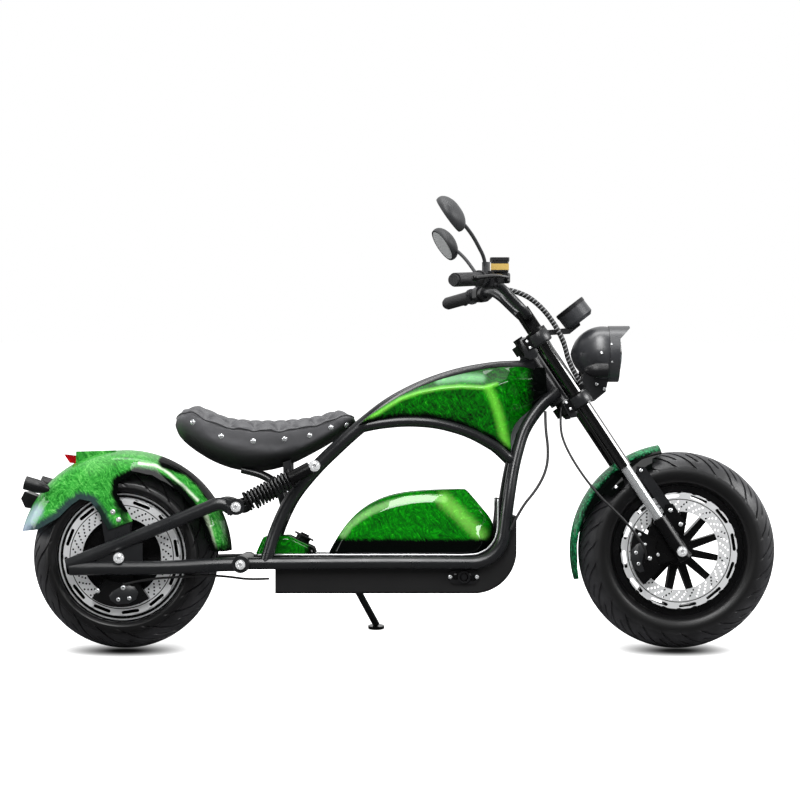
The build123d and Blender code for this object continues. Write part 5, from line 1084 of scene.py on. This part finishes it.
tank = {
    "columns": [  # top edge, dish, ridge, upper flank, lower flank, bottom edge
        [(-106, 96, 556), (-106, 100, 554), (-106, 101, 551), (-106, 100, 549), (-106, 98, 547),
         (-106, 92, 545)],
        [(-61, 101, 590), (-61, 104, 585), (-61, 106, 579), (-61, 103, 574), (-61, 100, 569),
         (-61, 88, 562)],
        [(0, 90, 629), (0, 101, 624), (0, 110, 619), (0, 103, 604), (0, 98, 590), (0, 86, 570)],
        [(49, 80, 651), (49, 98, 643), (49, 113, 636), (49, 104, 614), (49, 97, 594),
         (49, 84, 571)],
        [(98, 68, 670), (98, 93, 656), (98, 116, 646), (98, 105, 618), (98, 96, 590),
         (98, 84, 566)],
        [(147, 60, 683), (147, 88, 664), (147, 118, 650), (148, 106, 618), (149, 96, 582),
         (150, 84, 551)],
        [(190, 54, 692), (184, 84, 670), (184, 118, 649), (190, 107, 615), (196, 97, 574),
         (200, 84, 533)],
        [(212, 51, 697), (209, 80, 672), (212, 119, 646), (220, 110, 612), (234, 100, 562),
         (252, 85, 501)],
        [(240, 47, 700), (238, 72, 680), (240, 113, 657), (253, 100, 614), (266, 92, 562),
         (274, 84, 488)],
        [(262, 44, 702), (262, 64, 686), (263, 96, 665), (270, 82, 622), (274, 74, 576),
         (273, 66, 534)],
        [(283, 42, 703), (284, 56, 688), (285, 76, 669), (286, 64, 632), (287, 56, 594),
         (286, 48, 559)],
        [(312, 38, 703), (312, 46, 688), (312, 56, 669), (311, 48, 640), (308, 42, 610),
         (304, 34, 579)],
        [(338, 34, 702), (338, 38, 688), (337, 42, 666), (337, 38, 646), (336, 35, 624),
         (335, 30, 602)],
        [(364, 29, 700), (364, 31, 684), (364, 32, 660), (365, 31, 652), (366, 30, 646),
         (367, 28, 638)],
    ],
    "along": {0: 0.9, 2: 0.8, 5: 0.9}, "around": {0: 1.0, 7: 0.7, 8: 0.7, 13: 1.0}, "levels": 3,
}
rings = []
for column in tank["columns"]:
    rings.append([(x, -y, z) for x, y, z in column] + [(x, y, z) for x, y, z in reversed(column)])
along = {k: sharp for row, sharp in tank["along"].items() for k in (row, len(rings[0]) - 1 - row)}
creasedSkin("tank_skin", tankPaint, rings, along, tank["around"], tank["levels"], ["tank_cover"])

covers = {  # outlines in x and z of a flat face, the bright bevel round it and the outer edge
    "tunnel": {
        "outer": [(-178, 236), (-170, 254), (-158, 274), (-140, 303), (-112, 336), (-75, 363),
                  (-30, 383), (25, 393), (95, 397), (163, 398), (183, 376), (207, 347), (232, 317),
                  (231, 290), (224, 262), (196, 236)],
        "middle": [(-161, 236), (-154, 256), (-146, 273), (-132, 300), (-107, 330), (-72, 356),
                   (-28, 375), (25, 384), (76, 386), (118, 382), (136, 360), (160, 337), (187, 311),
                   (206, 286), (213, 260), (186, 236)],
        "face": [(-140, 236), (-134, 257), (-127, 275), (-112, 298), (-88, 318), (-60, 336),
                 (-20, 352), (27, 362), (62, 368), (98, 364), (123, 344), (148, 320), (172, 298),
                 (196, 278), (203, 258), (176, 236)],
        "halfWidth": 86.0, "middleDrop": 9.0, "outerDrop": 27.0, "corners": (0, 9, 15),
    },
    "rear": {
        "outer": [(-358, 236), (-350, 254), (-339, 279), (-308, 281.5), (-276, 283), (-244, 267),
                  (-214, 253), (-208, 236)],
        "middle": [(-354, 236), (-346, 253), (-336, 275), (-307, 277), (-278, 279), (-247, 264),
                   (-218, 250), (-212, 236)],
        "face": [(-350, 236), (-343, 252), (-333, 271), (-307, 273), (-279, 275), (-250, 261),
                 (-222, 248), (-217, 236)],
        "halfWidth": 68.0, "middleDrop": 3.0, "outerDrop": 9.0, "corners": (0, 2, 4, 6, 7),
    },
}
bevel = {"faceInset": 0.45, "skirt": 12, "cornerSharp": 0.8, "edgeSharp": 0.75, "levels": 2}


def bevelledSkin(name, size, replaced):
    half, n = size["halfWidth"], len(size["outer"])
    middle, inner = half - size["middleDrop"], half - size["outerDrop"]
    cx, cz = (sum(p[i] for p in size["face"]) / n for i in (0, 1))
    flank = [
        (half, "face", bevel["faceInset"]), (half, "face", 0.0), (middle, "middle", 0.0),
        (inner, "outer", 0.0), (inner - bevel["skirt"], "outer", 0.0),
    ]
    rings = []
    for y, line, pull in [(-y, line, pull) for y, line, pull in flank] + flank[::-1]:
        rings.append([(x + (cx - x) * pull, y, z + (cz - z) * pull) for x, z in size[line]])
    along = {k: bevel["cornerSharp"] for k in size["corners"]}
    around = {r: bevel["edgeSharp"] for r in (1, 2, 3, 6, 7, 8)}
    creasedSkin(name, tunnelPaint, rings, along, around, bevel["levels"], replaced)


bevelledSkin("tunnel_skin", covers["tunnel"], ["tunnel_cover"])
bevelledSkin("rear_cover_skin", covers["rear"], ["rear_cover"])
print("painted skins made")


def slab(outline, low, high):  # a plate with its outline in x and z, from low to high in y
    n = len(outline)
    points = [Vector((x, y, z)) for y in (low, high) for x, z in outline]
    return points, ringFaces(2, n) + [tuple(range(n)), tuple(range(n, 2 * n))]


# the grey panel behind the tank's front edge, carried on inside the tank
panel = {
    "outline": [(262, 480), (252, 500), (262, 560), (286, 606), (322, 655), (352, 640), (352, 612),
                (290, 500)],
    "half": 1.2,
}
piece = makePiece(
    "front_panel", "frame", greyPanel,
    [slab(panel["outline"], -panel["half"], panel["half"])], smooth=False,
)
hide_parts("inner_panel")

# the arch tubes' ends, carried into the down tubes
archEnds = {"line": [(246, 86, 497), (262, 85.5, 481), (281, 85, 462)], "radius": 11.0, "sides": 24}
makePiece("arch_ends", "frame", tubeCoat, [
    pipeAlong(
        [(x, y * side, z) for x, y, z in archEnds["line"]], archEnds["radius"], archEnds["sides"],
    )
    for side in (-1, 1)
])

# shock springs
spring = {
    "foot": (-399, 134, 355), "head": (-208, 134, 455), "start": 32.0, "length": 116.0,
    "coilRadius": 24.0, "wireRadius": 3.0, "turns": 12.5,
}
for side, name in ((-1, "right"), (1, "left")):
    low, high = (Vector((x, y * side, z)) for x, y, z in (spring["foot"], spring["head"]))
    way = (high - low).normalized()
    turn = (fromMm.to_3x3() @ facing(way).to_3x3()).normalized().to_euler()
    middle = spring["coilRadius"] - spring["wireRadius"]
    coil = growPiece(
        "coil_spring_" + name, coilTree, meshOf("springSeed", [(0, 0, 0)], []),
        {"Turns": spring["turns"], "Coil Radius": middle * 0.001,
         "Wire Radius": spring["wireRadius"] * 0.001, "Length": spring["length"] * 0.001,
         "Foot": tuple(fromMm @ (low + way * spring["start"])), "Turn": tuple(turn),
         "Finish": springSteel},
        "frame",
    )
    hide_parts("shock_springs")
print("springs wound")

# button-head cap screws, set at every bolt of a body on the surface that a ray from the side meets
screws = {
    "head": [(0.0, 0.0), (0.98, 0.0), (1.0, 0.06), (1.0, 0.5), (0.9, 0.72), (0.62, 0.84),
             (0.5, 0.85)],
    "sides": 24, "socket": {"radius": 0.44, "floor": 0.35, "tip": 0.3}, "sunk": 0.4, "nearest": 60,
    "frame": [  # x, y, z and the head's radius
        (-703, -126, 342, 6.5), (-689, -126, 323, 6.5), (-703, 126, 342, 6.5),
        (-689, 126, 323, 6.5), (-740, -120, 149, 6.0), (-689, -120, 128, 5.0),
        (-662, -120, 131, 5.0), (-677, -124, 157, 6.0), (123, -100, 182, 5.0),
        (189, -100, 182, 5.0),
    ],
    "fork": [
        (594, -85, 444, 4.6), (666, -85, 346, 5.6), (691, -85, 311, 5.6), (533, -75, 403, 4.6),
        (594, 85, 444, 4.6), (666, 85, 346, 5.6), (691, 85, 311, 5.6), (533, 75, 403, 4.6),
        (581, -95, 241, 4.6), (587, -95, 214, 4.6), (615, -95, 227, 5.4), (590, -95, 286, 4.4),
        (636, -95, 236, 4.4), (604, -95, 262, 3.4), (311, -95, 760, 3.6), (319, -95, 745, 3.6),
        (408, -95, 610, 3.6), (418, -95, 595, 3.6), (489, -60, 658, 4.0), (509, -60, 646, 4.6),
        (498, -65, 734, 3.6), (523, -68, 756, 2.6), (524, -68, 712, 2.6),
    ],
    "seats": {
        "frame": "rear_guard guard_brackets rear_caliper charge_fittings battery_case"
                 " stand_bracket",
        "fork": "guard_braces front_guard front_caliper top_clamp lower_clamp headlamp_shell"
                " lamp_brackets fork_lugs front_indicators",
    },
}
capHead = stampOf("capScrewHead", screws["head"], screws["sides"], screws["socket"])
for body, seats in screws["seats"].items():
    ground = surfaceTree([nodes[name].data for name in seats.split()])
    rows = []
    for x, y, z, size in screws[body]:
        way = Vector((0, math.copysign(1, y), 0))
        hit, normal = ground.ray_cast(Vector((x, way.y * far, z)), -way)[:2]
        if hit is None or abs(hit.y - y) > screws["nearest"]:
            print("no seat for a screw at", (x, y, z), hit)
            continue
        rows.append((hit - normal * screws["sunk"], normal, size))
    growPiece(
        body + "_screws", stampTree, seedMesh(body + "ScrewPlaces", rows),
        {"Stamp": capHead, "Finish": zinc}, body, sharp=30,
    )
    print(body, "screws:", len(rows), [round(row[0].y) for row in rows])
bpy.data.objects.remove(capHead)

# clamp collars round both fork legs, with the pinch blocks behind them
collar = {
    "radius": 26.0, "half": 18.0, "edge": 4.0, "inner": 16.8, "swell": 1.2, "legY": 95.0,
    "stations": (629.0, 447.0), "rake": 33.5,
}
rake = math.radians(collar["rake"])
legUp = Vector((-math.sin(rake), 0, math.cos(rake)))
r, h, e = collar["radius"], collar["half"], collar["edge"]
profile = [
    (collar["inner"], -h), (r - e, -h), (r - e * 0.3, -h + e * 0.3), (r, -h + e),
    (r + collar["swell"], 0),
    (r, h - e), (r - e * 0.3, h - e * 0.3), (r - e, h), (collar["inner"], h),
]
makePiece("clamp_collars", "fork", castSatin, [
    turnedShape(profile, frontHub + Vector((0, side * collar["legY"], 0)) + legUp * w, legUp)
    for w in collar["stations"] for side in (-1, 1)
], sharp=50)


def easedBlock(outline, low, high, soft):  # a slab with eased edges
    n = len(outline)
    centre = Vector((sum(p[0] for p in outline) / n, 0, sum(p[1] for p in outline) / n))
    points = []
    for y, pull in ((low, soft), (low + soft * 0.6, 0.0), (high - soft * 0.6, 0.0), (high, soft)):
        for x, z in outline:
            away = Vector((x - centre.x, 0, z - centre.z)).normalized()
            points.append(Vector((x, y, z)) - away * pull)
    return points, ringFaces(4, n) + [tuple(range(n)), tuple(range(3 * n, 4 * n))]


ears = {
    "outlines": (
        [(293, 764), (304, 771), (318, 771), (340, 735), (336, 722), (320, 716), (308, 722)],
        [(397, 611), (404, 619), (416, 619), (436, 588), (433, 575), (421, 573), (411, 586)],
    ),
    "half": 8.5, "soft": 3.0,
}
makePiece("clamp_ears", "fork", castSatin, [
    easedBlock(outline, y - ears["half"], y + ears["half"], ears["soft"])
    for outline in ears["outlines"] for y in (-collar["legY"], collar["legY"])
], sharp=40)

# raised bridges cast on the faces of both calipers
bridges = {
    "soft": 1.6,
    "fork": (-85.4, -82.7, [
        (571, 250), (583, 262), (600, 268), (606, 258), (598, 232), (596, 214), (602, 196),
        (590, 192), (574, 206), (567, 228),
    ]),
    "frame": (-121.6, -118.7, [
        (-712, 138), (-700, 150), (-676, 164), (-650, 160), (-640, 146), (-646, 128), (-664, 118),
        (-692, 116), (-708, 126),
    ]),
}
for body in ("fork", "frame"):
    low, high, outline = bridges[body]
    shape = easedBlock(outline, low, high, bridges["soft"])
    makePiece(body + "_caliper_bridge", body, castSatin, [shape], sharp=40)

# machined lips on the rear rim
lips = {
    "rings": [(79.2, 152.6, 156.4), (77.0, 142.6, 146.2)],  # y, inner and outer radius
    "thick": 1.4, "sides": 128,
}
makePiece("rim_lips", "rear_wheel", brightLip, [
    turnedShape(
        [(low, 0.0), (high, 0.0), (high, lips["thick"]), (low, lips["thick"])],
        rearHub + Vector((0, side * y, 0)), (0, side, 0), lips["sides"],
    )
    for y, low, high in lips["rings"] for side in (-1, 1)
], sharp=40)

# a near-white strip along the deck tray's rim, running up its front bend: a painted reflection on
# the tray's gloss black edge
deckHighlight = {
    "y": 91.0, "radius": 2.2, "sides": 10, "steps": 6,
    "line": [(-350, 236.5), (60, 236.5), (166, 236.5), (200, 243), (224, 261), (238, 290),
             (241, 330), (241, 374)],
}
makePiece("deck_rim", "frame", brightLip, [
    pipeAlong(
        smoothLine([(x, side * deckHighlight["y"], z) for x, z in deckHighlight["line"]], deckHighlight["steps"]),
        deckHighlight["radius"], deckHighlight["sides"],
    )
    for side in (-1, 1)
])

# pivot and axle fastenings: a flanged button head with a sunk socket over each plain one
fastener = {
    "profile": [  # radius and height as shares of the head's radius
        (0.0, 0.05), (0.30, 0.05), (0.34, 0.42), (0.42, 0.50), (0.62, 0.44), (0.72, 0.22),
        (0.76, 0.16), (0.97, 0.16), (1.0, 0.10), (1.0, -0.1), (0.0, -0.1),
    ],
    "frame": [(-208, 455, 14.0), (-399, 355, 12.5), (-388, 215, 12.0),
              (rearHub.x, rearHub.z, 13.0)],
    "fork": [(frontHub.x, frontHub.z, 12.5)],
    "sides": 36,
}
for body, plain in (("frame", ("arm_bolts", "rear_axle")), ("fork", ("front_axle",))):
    ground = surfaceTree([nodes[name].data for name in plain])
    shapes = []
    for x, z, size in fastener[body]:
        profile = [(r * size, h * size) for r, h in fastener["profile"]]
        for side in (-1, 1):
            hit = ground.ray_cast(Vector((x, side * far, z)), Vector((0, -side, 0)))[0]
            shapes.append(turnedShape(profile, hit, (0, side, 0), fastener["sides"]))
    makePiece(body + "_fastenings", body, polished, shapes, sharp=35)

# headlamp: clear domed lens over a bright bowl
lamp = {
    "centre": (543.0, 0, 735.0), "radius": 65.0, "bulge": 11.0, "back": -2.0, "steps": 8,
    "sides": 64,
}
shares = [step / lamp["steps"] for step in range(lamp["steps"] + 1)]
profile = [(lamp["radius"] * share, lamp["bulge"] * (1 - share * share)) for share in shares]
profile += [(lamp["radius"], lamp["back"]), (0.0, lamp["back"])]
dome = turnedShape(profile, Vector(lamp["centre"]), (1, 0, 0), lamp["sides"])
makePiece("headlamp_dome", "fork", lampGlass, [dome], sharp=50)

# speedometer: bezel, dial and its marks
gauge = {
    "centre": (424.0, 0, 851.0), "way": (-0.61, 0, 0.79), "ticks": 25, "sweep": 260, "rim": 33.5,
    "bezel": [(36.0, 0.4), (36.5, 2.6), (39.0, 3.4), (41.0, 2.2), (41.2, -7.0), (39.5, -7.0)],
    "dial": [(0.0, 0.9), (36.2, 0.9), (36.2, 0.2), (0.0, 0.2)],
    "markHeight": (0.85, 1.15), "long": (6.5, 0.7), "short": (3.5, 0.4),  # length and half width
}
way, place = Vector(gauge["way"]).normalized(), Vector(gauge["centre"])
bezel = turnedShape(gauge["bezel"], place, way, 64)
makePiece("gauge_bezel", "fork", blackPlastic, [bezel], sharp=45)
dial = turnedShape(gauge["dial"], place, way)
makePiece("gauge_dial", "fork", dialFace, [dial], smooth=False)
turn = Matrix.Translation(place) @ facing(way, (0, 1, 0))
marks = []
for k in range(gauge["ticks"]):
    length, half = gauge["long" if k % 4 == 0 else "short"]
    tip, root = gauge["rim"], gauge["rim"] - length
    corners = [(tip, -half), (tip, half), (root, half), (root, -half)]
    points, faces = slab(corners, *gauge["markHeight"])
    a = math.radians(gauge["sweep"] * (k / (gauge["ticks"] - 1) - 0.5))
    spin = turn @ Matrix.Rotation(a, 4, "Z")
    marks.append(([spin @ Vector((p.x, p.z, p.y)) for p in points], faces))
makePiece("gauge_marks", "fork", whiteMark, marks, smooth=False)
print("fork and wheel trim made")

# charge port: ringed socket with a hinged cap and a plug beside it
port = [  # centre, profile, sides
    ((160.0, -93.0, 182.0), [(9.0, 0), (15.0, 0), (15.0, 7), (13.0, 8.5), (9.0, 8.5)], 32),
    ((160.0, -93.0, 182.0), [(0.0, 0), (7.5, 0), (7.5, 5), (5.5, 6.5), (0.0, 6.5)], 24),
    ((137.0, -93.0, 184.0), [(0.0, 0), (8.0, 0), (8.0, 6), (6.5, 7), (0.0, 7)], 24),
    ((180.0, -93.0, 179.0), [(0.0, 0), (7.0, 0), (7.0, 5), (6.0, 6), (0.0, 6)], 24),
]
makePiece("charge_socket", "frame", castBlack, [
    turnedShape(profile, Vector(centre), (0, -1, 0), sides) for centre, profile, sides in port
], sharp=40)

# brake fluid reservoir: amber fluid in a clear tub under a black lid
reservoir = {"x": (218.4, 261.6), "y": (-218.6, -177.4), "z": (926.0, 941.0)}
(x0, x1), (z0, z1) = reservoir["x"], reservoir["z"]
fluid = slab([(x0, z0), (x1, z0), (x1, z1), (x0, z1)], *reservoir["y"])
makePiece("brake_fluid", "fork", amberFluid, [fluid], smooth=False)
print("bar trim made")

# floor, light and camera
studio = {
    "floor": 9.0, "floorZ": -0.0005, "shadow": (0.24, 0.12), "shadowShift": 0.03, "aim": 0.45,
    "lights": (  # name, place, size in metres and power in watts
        ("keySoftbox", (-0.2, -2.2, 3.7), (4.0, 1.2), 170),
        ("frontStrip", (2.7, -0.9, 1.9), (0.7, 2.0), 60),
        ("topStrip", (0.2, 0.6, 3.4), (3.2, 0.8), 50),
        ("rearStrip", (-2.5, -0.5, 1.1), (0.6, 1.6), 22),
    ),
    "cameraAt": (0.0, -5.6236, 1.2201), "lens": 100.8, "shiftY": 0.0875,
}
# pale paper, white to the camera except for a painted contact shadow where each tyre stands, dark
# where the paint mirrors it
web = startMaterial("paleStudioPaper", "#E9E9E9", 0.9, Specular_IOR_Level=0.0)
place = web.place()
rays = web.add("ShaderNodeLightPath")
# painted contact shadow: dark paper in a soft oval round each tyre's foot
shadowReach = None
for hub in (frontHub, rearHub):
    foot = fromMm @ Vector((hub.x, 0, 0))
    offset = web.vector("SUBTRACT", place, (foot.x, foot.y - studio["shadowShift"], 0))
    scaled = web.vector("MULTIPLY", offset, (1 / studio["shadow"][0], 1 / studio["shadow"][1], 0))
    reach = web.vector("LENGTH", scaled)
    shadowReach = reach if shadowReach is None else web.number("MINIMUM", shadowReach, reach)
outsideShadow = web.remap(shadowReach, 0.1, 1.0, kind="SMOOTHSTEP")
paperAndShadow = web.mix(outsideShadow, "#262626", web.mix(web.noise(place, 300), "#E6E6E6", "#EEEEEE"))
web.set(
    Base_Color=web.mix(rays.outputs["Is Glossy Ray"], paperAndShadow, "#3A3A3A"),
    Emission_Color="#FFFFFF",
    Emission_Strength=web.number("MULTIPLY", rays.outputs["Is Camera Ray"], outsideShadow),
)
corners = [(x * studio["floor"], y * studio["floor"], studio["floorZ"])
           for x, y in ((-1, -1), (1, -1), (1, 1), (-1, 1))]
floorMesh = meshOf("studioFloor", corners, [(0, 1, 2, 3)], Matrix.Identity(4))
floorMesh.materials.append(web.material)
floor = placed("studioFloor", floorMesh)

# white to the camera and through glass, a third as bright on matt surfaces, dark behind the camera
world = bpy.data.worlds.new("studioWorld")
scene.world = world
world.use_nodes = True
web = Web(world.node_tree, world.node_tree.nodes["Background"])
rays = web.add("ShaderNodeLightPath").outputs
heading = web.add(
    "ShaderNodeSeparateXYZ", {"Vector": web.add("ShaderNodeTexCoord").outputs["Generated"]},
)
behind = web.remap(heading.outputs["Y"], -0.3, 0.5, 0.04, 1.0)
mirrored = web.number("MULTIPLY", rays["Is Glossy Ray"], behind)
plain = web.number("MAXIMUM", rays["Is Camera Ray"], rays["Is Transmission Ray"])
diffuse = web.number("MULTIPLY", rays["Is Diffuse Ray"], 0.34)
brightest = web.number("MAXIMUM", web.number("MAXIMUM", plain, mirrored), diffuse)
web.set(Strength=brightest, Color="#FFFFFF")

for name, place, size, power in studio["lights"]:
    light = bpy.data.lights.new(name, "AREA")
    light.shape = "RECTANGLE"
    light.size, light.size_y = size
    light.energy = power
    aim = Vector(place) - Vector((0, 0, studio["aim"]))
    placed(name, light).matrix_world = Matrix.Translation(place) @ facing(aim)

camera = bpy.data.cameras.new("sideCamera")
camera.lens = studio["lens"]
camera.sensor_width = 36.0
camera.shift_y = studio["shiftY"]
camera.clip_end = 60.0
holder = placed("sideCamera", camera)
aim = facing((0, -math.cos(lean), math.sin(lean)), (1, 0, 0))
holder.matrix_world = Matrix.Translation(studio["cameraAt"]) @ aim
scene.camera = holder
scene.view_settings.view_transform = "Standard"
print("studio ready")
